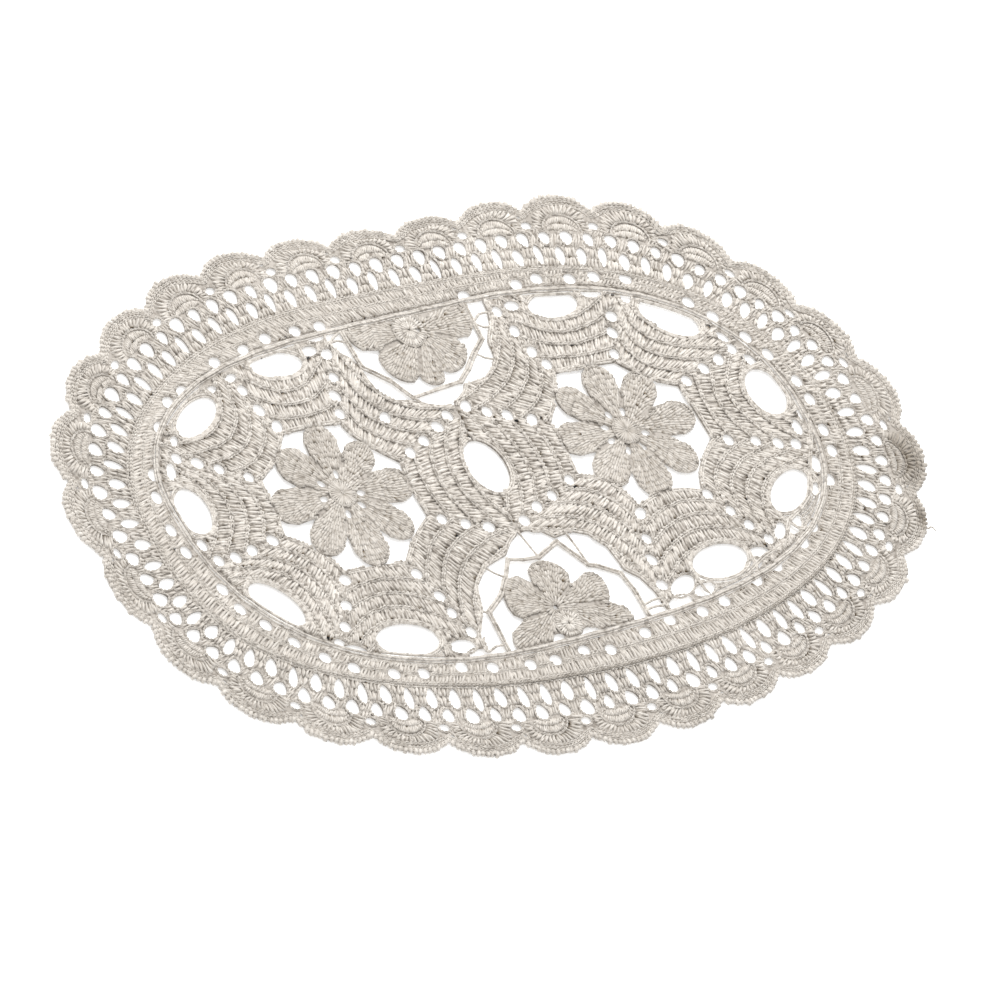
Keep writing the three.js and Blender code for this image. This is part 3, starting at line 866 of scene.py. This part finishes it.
band = {
    "rows": 2, "post": (1.8, 2.0, 1.3, 0.3, 0.3), "hole": (3.3, 2.7), "holeRing": (0.6, 1.3, 1.3),
    "topZ": (1.65, 1.9), "topChain": (2.0, 2.1), "chains": ((0.14, 2.0, 1.6, 1.5), (0.8, 2.1, 1.3, 1.6)),
    "chainLoose": 0.15, "clear": 0.5, "shade": 0.4, "clothZ": 1.15, "flat": (0.95, 0.0145),
    "seam": (2.0, 1.5, 2.1, 0.1), "seamPlace": 1.1, "seamShade": 0.9, "seamLeft": -75, "seamTop": 12,
}
bandHoles = [
    (72, 94), (118, 86), (141, -58), (150, -51), (-139, 71), (-149, 67), (-160, 55.5), (-115, 82),
    (-97, 85.5), (-83, 89), (-66, 90), (-52, 90), (30, 92), (60, 93), (89, 91), (102, 90), (144.5, 69),
    (153.5, 60), (165, 47), (172, 36.5), (180, 21), (182, 11), (181, -5), (180, -16), (171, -30),
    (121, -67), (107, -72), (85, -79), (71, -82), (52, -83), (36, -87), (14, -92), (0, -90), (-17, -92),
    (-31, -92), (-51, -90), (-67, -87), (-88, -86.5), (-103, -84), (-122, -77.5), (-134, -70), (-146, -60),
    (-156, -49), (-165, -39), (-169, -28), (-178, -7), (-180, 5), (-179, 22), (-175, 33),
]

# Where a second strand leaves the cord and comes back to it
cordBranch = [
    (104, -67.5), (117, -61), (127, -58), (134, -55), (136, -50), (139, -46), (148, -41.5), (155.5, -36),
    (161, -27), (166, -18), (171.5, -9), (175.5, 0),
]
cordPlan = {"strand": (2.6, 1.05, 1.75), "offsets": (-0.55, 0.5), "pitch": 2.6, "width": 1.15,
            "strands": ((-1.0, 1.2), (-0.1, 1.9), (0.85, 1.3)), "wobble": 0.16, "shade": 0.35}


def cordAngleAt(x, y):
    line = cordLine(0)
    i = int(np.argmin(np.hypot(line[:, 0] - x, line[:, 1] - y)))
    way = line[(i + 1) % 900] - line[i - 1]
    return math.atan2(way[1], way[0])


# Outer line of the band, and the line of the cord straight in from each of its points
def bandLines(steps=960, farthest=30):
    turns = turnsAt(scallopOval, np.arange(steps + 1) / steps)
    outer = borderPoints(turns, border["lattice"] + 0.5)
    cord = cordLine(border["cordWidth"] / 2 + 0.6, 2400)
    inward = unit(borderPoints(turns, 40.0) - borderPoints(turns, 20.0))
    apart = cord[None] - outer[:, None]
    sideways = np.abs(apart[:, :, 0] * inward[:, None, 1] - apart[:, :, 1] * inward[:, None, 0])
    ahead = (apart * inward[:, None]).sum(2)
    sideways[(ahead < 0) | (ahead > farthest)] = 1e9
    inner = cord[np.argmin(sideways, axis=1)]
    inner = (inner + np.roll(inner, 1, axis=0) + np.roll(inner, -1, axis=0)) / 3
    inner[0] = inner[-1] = (inner[1] + inner[-2]) / 2
    return inner, outer


def makeBand():
    inner, outer = bandLines()
    holes = [(x, y, *band["hole"], cordAngleAt(x, y)) for x, y in bandHoles]
    isCloth = clearOf(holes, band["clear"])
    posts, links, seam = [], [], []
    for row in range(band["rows"]):
        low, high = (inner + (outer - inner) * (edge / band["rows"]) for edge in (row, row + 1))
        posts += postsBetween(low, high, *band["post"])
        links += chainAlong(high, *band["topChain"], band["topZ"][row])
        # From the second row a darker chain runs along the seam to the lattice, only on the lower right: a
        # painted shadow of the ridge there
        if row:
            seam = [s for s in chainAlong(low + (high - low) * band["seamPlace"], *band["seam"])
                    if s[0] > band["seamLeft"] and s[1] < band["seamTop"]]
        for share, pitch, width, z in band["chains"]:
            links += chainAlong(low + (high - low) * share, pitch, width, z, band["chainLoose"])
    for hole in holes:
        links += ringChain(hole, *band["holeRing"])
    piece = sew("post_band_stitches", (post, trimmed(posts, isCloth)), (link, onCloth(links, isCloth)),
                (link, seam, band["seamShade"]), shade=band["shade"], material=borderYarn)
    layCloth("post_band", band["clothZ"], holes, (piece, makeCord()))


def makeCord():
    strands = []
    for offset in cordPlan["offsets"]:
        for a, b in zip(cordBranch[:-1], cordBranch[1:]):
            strands += cordAlong(strandBeside(a, b, offset), *cordPlan["strand"])
    steps = np.arange(901)
    for offset, z in cordPlan["strands"]:
        wobble = np.stack([np.sin(steps * 0.36 + 2 * z), np.cos(steps * 0.31 + z)], -1) * cordPlan["wobble"]
        line = cordLine(offset) + wobble
        line[-1] = line[0]
        strands += cordAlong(line, cordPlan["pitch"], cordPlan["width"], z)
    piece = sew("inner_cord_strands", (rib, strands), shade=cordPlan["shade"])
    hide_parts("inner_cord")
    return piece


# Shells

# Each shell: start, middle and end of its eye side, then of its flower side
shellArcs = {
    "left": [
        ((-101, 77), (-84, 68.5), (-68, 77), (-101, 42), (-83, 41), (-66, 42)),
        ((-154, 46), (-131, 50.5), (-121, 68), (-124, 22), (-109, 29.5), (-101, 42)),
        ((-160, 31), (-153, 12), (-165, -8), (-124, 20), (-122, 7), (-125, -6)),
        ((-160, -24), (-137, -34), (-130, -60), (-124, -9), (-111, -18), (-104, -29)),
        ((-112, -66), (-89, -59), (-62, -72), (-102, -31), (-84, -30.5), (-69, -32)),
        ((-48, -70), (-36, -46), (-10, -33), (-67, -32), (-58, -20), (-46, -11)),
        ((-8, -14), (-14, 8), (-5, 30), (-45, -9), (-47, 5), (-46, 18)),
        ((-7, 39), (-36, 49), (-50, 76), (-48, 21), (-61, 31), (-65, 41)),
    ],
    "right": [
        ((55, 80), (73, 72), (97, 78), (57, 47), (75, 46.5), (93, 46)),
        ((113, 75), (121, 60), (149, 50), (95, 45), (103, 36), (117, 31)),
        ((157, 35), (149, 17), (161, -3), (118, 30), (119, 14), (121, 0)),
        ((161, -17), (135, -27), (130, -49), (120, -2), (108, -11), (104, -22)),
        ((118, -56), (91, -49.5), (66, -60), (103, -22), (84, -20), (67, -25)),
        ((5, -28), (35, -38), (52, -66), (45, -6), (57, -12), (65, -26)),
        ((4, -16), (10, 5), (3, 30), (43, -4), (43, 11), (41, 23)),
        ((39, 80), (29, 57), (1, 42), (55, 47), (51, 35), (42, 26)),
    ],
}
jointHoles = [
    (-108, 66), (-104.5, 55), (-99.5, 45.5), (-159, 39), (-149.5, 35), (-140, 30), (-127, 23.5),
    (-163.5, -14), (-154, -14), (-144, -12), (-131, -9), (-123, -65), (-116, -57), (-110, -47),
    (-104, -34.5), (-53, -71), (-58, -60), (-60, -51), (-66, -38), (-17, -22), (-28, -18.5), (-39, -14),
    (-9.5, 35.5), (-17.5, 31), (-28, 25.5), (-38, 21), (-42, 40), (-55.5, 76), (-58, 64), (-62, 55),
    (-64, 46), (113, 77), (101, 69), (97, 61), (92.5, 50.5), (154.5, 42.5), (145, 38.5), (135, 35.5),
    (123, 31), (163, -9.5), (154, -7.5), (143, -4.5), (129, -1.5), (124, -53), (117.5, -44.5),
    (111.5, -36), (104, -26), (57, -65.5), (58, -52.5), (61, -42), (64.5, -29), (3, -22), (13, -16.5),
    (23.5, -12.5), (36.5, -6.5), (2.5, 38.5), (12, 34), (21.5, 30.5), (33, 26), (43, 81.5), (47, 70.5),
    (50.5, 59), (55, 51.5),
]
# Gaps along the cord: middle, length, width, and the tilt in degrees where it isn't the cord's
cordGaps = [
    (-124, 69, 7, 2.5), (-111, 73, 7, 3), (-64, 79, 9, 4), (-156, 47.5, 6, 3), (-165, 33, 9, 4),
    (52, 83, 8, 4), (96, 82, 11, 3), (153, 49, 7, 3), (161.5, 35, 8, 4), (171, 26.5, 9, 2.4, -67),
    (174, 5, 9, 4), (168, -1.5, 8, 4), (168, -21, 9, 4), (161, -33, 7, 3), (-168, -5, 6, 4),
    (-144, -52.5, 7, 3), (-139, -62, 7, 3), (-116, -69, 11, 3.5), (-106, -75.5, 7, 3),
    (-61, -77, 13.5, 6, -5), (-54, -82, 12, 3.6, -4), (-57.5, 85.5, 10, 4, -3), (-20, -87, 8, 3),
    (-8, -86, 7, 3), (67.5, -67.8, 16, 7.5, 24), (78, -71.6, 12.5, 5, 10), (62, -75.6, 14, 5, 8),
    (115.7, -58.5, 10.5, 4.6, -4), (110, -64, 10, 4.4, 18), (132, -50, 9.5, 4.6, -132),
    (141.5, -48.5, 11.5, 5, -137), (141, -58, 6.5, 5.4), (150, -51, 9, 4.4),
]
# The eye of each shell: its middle, half its length and width, and its tilt in degrees
eyes = {
    "left": {1: (-84, 75.3, 14.5, 6.6, -3), 2: (-138.5, 57, 15.5, 7.2, 28), 3: (-164, 12, 12.4, 9.2, 90),
             4: (-145, -40, 15.5, 8.3, -48), 5: (-87.5, -69, 17, 8.8, -8)},
    "right": {1: (73.5, 79.8, 14.2, 7, 0), 2: (130, 63, 16, 8, -35), 3: (161, 18.5, 12.6, 10, -80),
              4: (147.5, -31.5, 14.8, 8.2, 33), 5: (93, -59.3, 16.3, 8.8, 6)},
}
shellRows = {
    "rows": 4, "post": (1.85, 2.0, 1.2, 0.35, 0.4), "chain": (2.05, 2.4, 1.8, 0.2), "jointHole": 3.1,
    "jointRing": (0.55, 1.3, 1.35), "rims": ((0.5, 2.6, 1.1, 1.6), (1.5, 2.6, 1.1, 1.75)),
    "eyeRims": ((-0.1, 2.6, 1.1, 1.3), (0.9, 2.6, 1.1, 1.6)), "cornerRows": (2.3, 3.9, 5.5, 7.1, 8.7),
    "cornerChain": (2.0, 1.5, 1.2), "cornerRing": (2.0, 1.0, 1.5), "holeReach": 6, "eyeReach": 24,
    "clear": 0.5, "cornerClear": 0.4, "shade": 0.2, "deeperFootShade": 1.7, "clothZ": 1.05, "stagger": 0.05,
    "arcReach": (-0.6, 1.6), "jointUneven": 0.12, "jointNarrower": 0.9, "gapGrow": (0.2, 0.5),
}
shellPost = {**post, "shade": post["shade"] * shellRows["deeperFootShade"]}


# Nearest point to each point on the cord's inner side, and how much nearer the middle it lies
def insideCord(points, inset):
    cord = cordLine(-border["cordWidth"] / 2 - inset)
    near = cord[np.argmin(((points[:, None] - cord[None]) ** 2).sum(2), axis=1)]
    fromMiddle = [np.hypot(*(p - cordOval["middle"]).T) for p in (points, near)]
    return near, fromMiddle[0] - fromMiddle[1]


# Strand round an eye, held inside the cord
def eyeRim(eye, grow, pitch, width, z):
    line = eggLine((*eye[0:4], math.radians(eye[4])), grow, 73)
    near, over = insideCord(line, 0.5 + width / 2)
    line[over > 0] = near[over > 0]
    return cordAlong(line, pitch, width, z)


# Rows that fill the corners between an eye and the cord, and strands round the holes there
def fillCorners(eye, near):
    rows, rings = [], []
    pitch, width, z = shellRows["cornerChain"]
    for row, grow in enumerate(shellRows["cornerRows"]):
        rows += eyeRim(eye, grow, pitch, width, z + 0.15 * (row % 2))
    for hole in near:
        others = [other for other in near if other is not hole]
        ring = onCloth(offMat(cordAlong(eggLine(hole, 0.35), *shellRows["cornerRing"])), clearOf(others, 0))
        rings += [s for s in ring if math.dist(s[0:2], eye[0:2]) < shellRows["eyeReach"]]
    return offMat(onCloth(rows, clearOf(near, shellRows["cornerClear"]))), rings


def makeShell(node, arc, eye, clothZ, holes):
    reach = shellRows["holeReach"]
    low, high = (np.array(c[0:2]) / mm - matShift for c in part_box(node))
    near = [h for h in holes if (low - reach < h[0:2]).all() and (h[0:2] < high + reach).all()]
    isCloth, inside = clothTest(node, near, shellRows["clear"]), clothTest(node)
    places = np.linspace(*shellRows["arcReach"], 89)
    eyeSide, flowerSide = arcLine(*arc[0:3], places), arcLine(*arc[3:6], places)
    posts, links = [], []
    step = 1 / shellRows["rows"]
    for v in np.arange(-2, shellRows["rows"] + 1) * step:
        feet, tops = (eyeSide + (flowerSide - eyeSide) * share for share in (v, v + step))
        posts += postsBetween(feet, tops, *shellRows["post"])
        links += chainAlong(tops, *shellRows["chain"])
    posts, links = trimmed(posts, isCloth), onCloth(links, isCloth)
    for hole in near:
        links += onCloth(ringChain(hole, *shellRows["jointRing"]), inside)
    ribs = [s for rim in shellRows["rims"] for s in rimCord(node, *rim)]
    if eye:
        corner, rings = fillCorners(eye, near)
        links += corner
        ribs += [s for rim in shellRows["eyeRims"] for s in eyeRim(eye, *rim)] + rings
    piece = sew(node + "_stitches", (shellPost, posts), (link, links), (rib, ribs), shade=shellRows["shade"])
    layCloth(node, clothZ, near, (piece,))


def makeShells():
    size, narrower = shellRows["jointHole"], shellRows["jointNarrower"]
    holes = [(x, y, size * (1 + shellRows["jointUneven"] * math.sin(x)), size * narrower, math.sin(y))
             for x, y in jointHoles]
    endGrow, sideGrow = shellRows["gapGrow"]
    for x, y, long, across, *tilt in cordGaps:
        angle = math.radians(tilt[0]) if tilt else cordAngleAt(x, y)
        holes.append((x, y, long / 2 + endGrow, across / 2 + sideGrow, angle))
    for side, arcs in shellArcs.items():
        for number, arc in enumerate(arcs, 1):
            z = shellRows["clothZ"] + shellRows["stagger"] * (number % 2)   # neighbours lie a little apart
            makeShell(f"shell_{side}_{number}", arc, eyes[side].get(number), z, holes)
    print("shells laid")


# Flowers

largeFlowers = {
    "large_flower_left": {
        "centre": (-84, 7),
        "petals": [(80, 36), (135, 34), (186, 40), (225, 37), (273, 38), (318.5, 37), (357, 39), (405, 33)],
        "gaps": (78, 139, 185, 261, 317, 354),
    },
    "large_flower_right": {
        "centre": (78, 12),
        "petals": [(92, 35), (139, 36), (175, 38), (225, 34), (275, 35), (324.5, 37), (362, 40), (406, 36)],
        "gaps": (70, 116, 160, 200, 250, 300, 345),
    },
}
smallFlowers = {
    "small_flower_bottom": {
        "centre": (-4, -67), "net": "chain_net_bottom", "disc": (-1.5, -75.9, 7.3),
        "gaps": [(8.5, -81.8, 4.8, 2.8, 0), (-10, -81.8, 3.6, 2.1, 0.2)],
        "petals": [(-4, 27.5, 33), (35, 16.5, 24.5), (111, 14.5, 25.5), (189, 18.5, 35),
                   (246, 19, 16), (320, 18.5, 40)],
    },
    "small_flower_top": {
        "centre": (-3, 79), "net": "chain_net_top", "disc": (-7.8, 79.9, 8.3), "gaps": [],
        "petals": [(194, 24.5, 31), (245, 23.5, 28), (278, 21, 25.5), (338, 18.5, 31),
                   (400, 14, 13), (500, 14, 39)],
    },
}
# Rings of posts are given by their two radii and chains by one, then by their stitches
petalPlan = {
    "notch": 21, "fullness": 2, "bluntness": 0.72, "smallBluntness": 0.5, "base": 8.5, "smallBase": 6.0,
    "row": 2.7, "pitch": 1.25, "width": 1.55, "z": 1.35, "rise": 0.4, "rim": (2.0, 1.5, 2.05),
    "earlyRim": (2.0, 1.5, 1.5), "innerRim": (2.0, 1.3, 2.05), "rimInset": 0.7, "shade": 0.65,
    "footAt": 0.1, "footReach": 0.25, "footShade": 0.7, "slit": 0.8, "slitFrom": 13, "smallSlitFrom": 7.5,
    "gapRadius": 10.3, "gap": (2.2, 1.5), "centreChains": ((6.6, 2, 1.5, 2.3), (0.8, 1.2, 1.7, 2.35)),
    "centrePosts": ((1.0, 6.8, 0.8, 1.2, 2.2, 0.05), (6.8, 9.1, 1.3, 1.5, 1.8)),
    "smallPosts": (2.2, 6.0, 1.3, 1.4, 2.0, 0.05), "smallChain": (2.0, 1.8, 1.3, 2.1), "smallEye": 1.1,
    "whorl": ((0.8, 1.2, 2.1, 0.05), (1.15, 1.35, 1.9, 0.05)), "whorlHalf": 0.55,
    "whorlRings": ((2.0, 1.4, 2.1), (1.6, 1.2, 2.2)), "discLighter": 0.45, "clothZ": 1.3,
    "uneven": {"width": 0.1, "z": 0.06, "tipZ": 0.12, "foot": 0.45, "tip": 0.3, "roll": 0.8},
    "footOverlap": 0.3, "rimStem": (1.0, 3), "innerStem": (5.5, 4, 2.9),
}
# Petal stitches are darker at their feet too: painted shade that marks each row
petalRib = {**rib, "shade": shadeAt(rib, petalPlan["footAt"], petalPlan["footReach"], petalPlan["footShade"])}


def polarPoint(centre, degrees, radius):
    angle = np.radians(degrees)
    return np.stack([centre[0] + radius * np.cos(angle), centre[1] + radius * np.sin(angle)], -1)


def circleAt(centre, radius):
    return polarPoint(centre, np.linspace(0, 360, 49), radius)


def ringPosts(centre, fromRadius, toRadius, *stitch):
    return postsBetween(circleAt(centre, fromRadius), circleAt(centre, toRadius), *stitch)


def ringLinks(centre, radius, *stitch):
    return chainAlong(circleAt(centre, radius), *stitch)


# Rows of ribs over each petal, with chain along its rim where it lies over the next one
def layPetals(node, centre, lobes, bluntness, base):
    isCloth = clothTest(node)
    posts, links = [], []
    uneven, row, inset = petalPlan["uneven"], petalPlan["row"], petalPlan["rimInset"]
    for fromAngle, fromRadius, toAngle, toRadius, reach in lobes:
        part = np.linspace(0, 1, 41)
        notch = fromRadius + (toRadius - fromRadius) * part
        edge = notch + (reach - notch) * (1 - np.abs(2 * part - 1) ** petalPlan["fullness"]) ** bluntness
        angles = fromAngle + (toAngle - fromAngle) * part
        radius = base
        while radius < reach - 1.5:
            top = min(radius + row, reach)
            low, high = (polarPoint(centre, angles, np.minimum(r, edge)) for r in (radius, top))
            count = max(3, round((lengthOf(low) + lengthOf(high)) / 2 / petalPlan["pitch"]))
            feet, tops = middlesOf(low, count), middlesOf(high, count)
            for i in range(count):
                z = petalPlan["z"] + petalPlan["rise"] * (i + 0.5) / count + chance.normal(0, uneven["z"])
                way = (tops[i] - feet[i]) / row
                foot = feet[i] - way * (petalPlan["footOverlap"] + abs(chance.normal(0, uneven["foot"])))
                tip = tops[i] + way * chance.normal(0, uneven["tip"])
                posts.append(seat(foot, tip, petalPlan["width"] * (1 + chance.normal(0, uneven["width"])), z,
                                  zEnd=z + chance.normal(0, uneven["tipZ"]),
                                  roll=chance.uniform(-uneven["roll"], uneven["roll"])))
            radius = top
        late = part > 0.5

        def lateRim(back, stemFrom, rimInset=inset):
            radii = np.linspace(base + stemFrom, toRadius - inset, 8)
            stem = polarPoint(centre, np.full(8, toAngle - back), radii)
            return np.concatenate([stem, polarPoint(centre, angles[late], edge[late] - rimInset)[::-1]])

        links += chainAlong(lateRim(*petalPlan["rimStem"]), *petalPlan["rim"])
        links += chainAlong(polarPoint(centre, angles[~late], edge[~late] - inset), *petalPlan["earlyRim"])
        links += chainAlong(lateRim(*petalPlan["innerStem"]), *petalPlan["innerRim"])
    return trimmed(posts, isCloth), onCloth(links, isCloth)


# Narrow slit between two petals, where only the dark sheet below shows, as painted shade
def slitAt(centre, angle, fromRadius, toRadius):
    middle = polarPoint(centre, angle, (fromRadius + toRadius) / 2)
    return (*middle, (toRadius - fromRadius) / 2, petalPlan["slit"], math.radians(angle))


def makeLargeFlower(node, flower):
    centre, rows, notch = flower["centre"], flower["petals"], petalPlan["notch"]
    angles = [rows[-1][0] - 360, *(angle for angle, reach in rows), rows[0][0] + 360]
    lobes = [((before + angle) / 2, notch, (angle + after) / 2, notch, reach)
             for before, (angle, reach), after in zip(angles, rows, angles[2:])]
    posts, links = layPetals(node, centre, lobes, petalPlan["bluntness"], petalPlan["base"])
    for ring in petalPlan["centrePosts"]:
        posts += ringPosts(centre, *ring)
    for ring in petalPlan["centreChains"]:
        links += ringLinks(centre, *ring)
    gaps = [(*polarPoint(centre, g, petalPlan["gapRadius"]), *petalPlan["gap"], math.radians(g))
            for g in flower["gaps"]]
    partings = [slitAt(centre, lobe[2], petalPlan["slitFrom"], notch) for lobe in lobes]
    clear = lambda points: ~(inHoles(points, gaps, 0.35) | inHoles(points, partings, 0.1))
    piece = sew(node + "_stitches", (petalRib, trimmed(posts, clear)), (link, onCloth(links, clear)),
                shade=petalPlan["shade"], material=petalYarn)
    layCloth(node, petalPlan["clothZ"], gaps, (piece,))


def makeSmallFlower(node, flower):
    centre, rows = flower["centre"], flower["petals"]
    following = [*rows[1:], (rows[0][0] + 360, *rows[0][1:])]
    lobes = [(*row[0:2], *after[0:2], row[2]) for row, after in zip(rows, following)]
    posts, links = layPetals(node, centre, lobes, petalPlan["smallBluntness"], petalPlan["smallBase"])
    posts += ringPosts(centre, *petalPlan["smallPosts"])
    links += ringLinks(centre, *petalPlan["smallChain"])
    gaps = [(*centre, petalPlan["smallEye"], petalPlan["smallEye"], 0.0), *flower["gaps"]]
    partings = [slitAt(centre, row[0], petalPlan["smallSlitFrom"], row[1]) for row in rows]
    *disc, radius = flower["disc"]                  # the rosette worked over the petals
    clear = lambda points: ~(inHoles(points, gaps + partings, 0.15)
                             | (np.hypot(points[:, 0] - disc[0], points[:, 1] - disc[1]) < radius - 0.5))
    isCloth = clothTest(node, gaps, 0.2)
    half = radius * petalPlan["whorlHalf"]
    inner, outer = petalPlan["whorl"]
    whorl = ringPosts(disc, 0.6, half, *inner) + ringPosts(disc, half, radius - 0.3, *outer)
    rings = [s for r, ring in zip((radius, half), petalPlan["whorlRings"]) for s in ringLinks(disc, r, *ring)]
    # The rosette's stitches are sewn lighter: a painted highlight where light washes out the top flower; the
    # lower rosette is sewn lighter as well
    piece = sew(node + "_stitches", (petalRib, trimmed(posts, clear)), (link, onCloth(links, clear)),
                (petalRib, trimmed(whorl, isCloth, 1.5), -petalPlan["discLighter"]),
                (link, onCloth(rings, isCloth)), shade=petalPlan["shade"], material=petalYarn)
    layCloth(node, petalPlan["clothZ"], gaps, (piece, makeNet(flower["net"])))


# Chain nets

# Places along each net, with its width there
chainNets = {
    "chain_net_bottom": [
        (-38.5, -92, 2.6), (-39, -63, 2.6), (-28.5, -56, 2.6), (-21.5, -48, 2.6), (-15.8, -39.4, 1.6),
        (-8, -40.8, 1.6), (0.5, -41, 2), (14.2, -35, 2.8), (24.5, -49, 2.4), (29, -50.5, 2.4),
        (38.8, -56, 2.6), (41.5, -66, 2.6), (43, -92, 2.6),
    ],
    "chain_net_top": [
        (-43, 96, 2.6), (-41, 66.5, 2.6), (-30, 57.5, 2.8), (-22.5, 47.2, 1.8), (-8, 49.2, 1.6),
        (6.3, 51, 2.2), (13.5, 56.5, 2.8), (20.5, 63.5, 2.8), (28.3, 69.8, 2.4), (28, 96, 2.4),
    ],
}
# Loose strands that close the corners between a net, the shells and the cord
cornerStrands = {
    "chain_net_bottom": [
        ((42.5, -73.5), (49, -71.8), (56.5, -71.5)),
        ((41, -76.5), (48, -75.2), (52.5, -75.8), (56, -72.5)), ((-39.5, -80), (-44, -80), (-49, -82)),
        ((-48, -75), (-50.5, -77.5), (-49, -82)), ((-46, -62.5), (-42, -62), (-39.5, -64)),
        ((0.5, -41), (-1.5, -34), (-3.5, -27)), ((-21.5, -48), (-26, -45), (-30, -41)),
        ((24.5, -49), (23, -40), (21, -32)),
    ],
    "chain_net_top": [
        ((-52, 81), (-47, 84), (-42.5, 86)), ((-43, 80), (-47, 81.5), (-52, 81)),
        ((28, 78), (33, 74.5), (37, 75.5)), ((28.5, 79), (33, 82), (38.5, 82)),
        ((-22.5, 47.2), (-21, 46), (-19, 43)), ((20.5, 63.5), (25, 60), (30, 58.5)),
    ],
}
netPlan = {
    "strand": (2.8, 1.4, 1.3), "strandThick": 1.2, "runOn": 0.5, "corner": (2.6, 1.3, 1.4),
    "overCord": 0.4, "shade": 0.5,
}


def makeNet(node):
    strands = []
    for a, b in zip(chainNets[node][:-1], chainNets[node][1:]):
        apart = max((a[2] + b[2]) / 2 - netPlan["strandThick"], 0.5) / 2
        for offset in (-apart, apart):
            strands += cordAlong(strandBeside(a[0:2], b[0:2], offset, netPlan["runOn"]), *netPlan["strand"])
    for points in cornerStrands[node]:
        strands += cordAlong(points, *netPlan["corner"])
    strands = trimmed(strands, lambda points: insideCord(points, 0)[1] < netPlan["overCord"], 0.8)
    piece = sew(node + "_links", (rib, strands), shade=netPlan["shade"])
    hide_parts(node)
    return piece


slits, arches, feet = borderHoles()
makeEdging(arches, feet)
makeLattice(slits, arches)
print("border laid")
makeBand()
makeShells()
for node, flower in largeFlowers.items():
    makeLargeFlower(node, flower)
for node, flower in smallFlowers.items():
    makeSmallFlower(node, flower)
print("flowers laid")

# Floor, light and camera

studio = {"floor": (0.92, 0.92, 0.92), "floorSize": 8, "glow": 0.3, "world": 0.75,
          "key": {"at": (0.3, 1.3, 1.5), "size": 1.4, "power": 45},
          "fill": {"at": (-1.2, -0.9, 1.4), "size": 1.6, "power": 8}}
cameraPlan = {"azimuth": 210.2, "elevation": 46.1, "roll": -40.5, "distance": 19.58, "lens": 1593,
              "aim": (-1.59, 5.71, 1.25), "right": 4.2, "up": -12.5}


def makeFloor():
    selectOnly()
    bpy.ops.mesh.primitive_plane_add(size=studio["floorSize"], location=(0, 0, 0))
    floor = bpy.context.object
    floor.name = "floor"
    material, shader = newMaterial("paleFloor")
    shader.inputs["Base Color"].default_value = (*studio["floor"], 1)
    shader.inputs["Roughness"].default_value = 0.9
    shader.inputs["Emission Color"].default_value = (1, 1, 1, 1)    # a softly lit table
    shader.inputs["Emission Strength"].default_value = studio["glow"]
    floor.data.materials.append(material)


def aimLight(name, plan):
    data = bpy.data.lights.new(name, "AREA")
    data.energy = plan["power"]
    data.size = plan["size"]
    light = addObject(name, data)
    light.location = plan["at"]
    light.rotation_euler = (Vector((0, 0, 0)) - light.location).to_track_quat("-Z", "Y").to_euler()


def makeCamera():
    plan = cameraPlan
    azimuth, elevation, roll = (math.radians(plan[k]) for k in ("azimuth", "elevation", "roll"))
    ahead = Vector((math.cos(azimuth), math.sin(azimuth), 0))
    back = math.cos(elevation) * ahead + Vector((0, 0, math.sin(elevation)))
    level = Vector((-math.sin(azimuth), math.cos(azimuth), 0))
    steep = back.cross(level)
    right = math.cos(roll) * level - math.sin(roll) * steep
    up = math.sin(roll) * level + math.cos(roll) * steep
    aim = (Vector(plan["aim"]) + right * plan["right"] + up * plan["up"]) * mm
    data = bpy.data.cameras.new("camera")
    data.lens = plan["lens"]
    data.sensor_width = 36
    data.clip_end = 40
    camera = addObject("camera", data)
    turn = Matrix((right, up, back)).transposed().to_4x4()
    camera.matrix_world = Matrix.Translation(aim + back * plan["distance"]) @ turn
    bpy.context.scene.camera = camera


def makeWorld():
    world = bpy.data.worlds.new("studio")
    bpy.context.scene.world = world
    world.use_nodes = True
    sky = world.node_tree.nodes["Background"]
    sky.inputs["Color"].default_value = (1, 1, 1, 1)
    sky.inputs["Strength"].default_value = studio["world"]


makeFloor()
aimLight("keyLight", studio["key"])
aimLight("fillLight", studio["fill"])
makeWorld()
makeCamera()
bpy.context.scene.view_settings.view_transform = "Standard"

shown = [o for o in bpy.data.objects if o.type == "MESH" and o.name != "floor" and "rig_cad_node" not in o]
print("triangles:", sum(sum(len(p.vertices) - 2 for p in o.data.polygons) for o in shown))
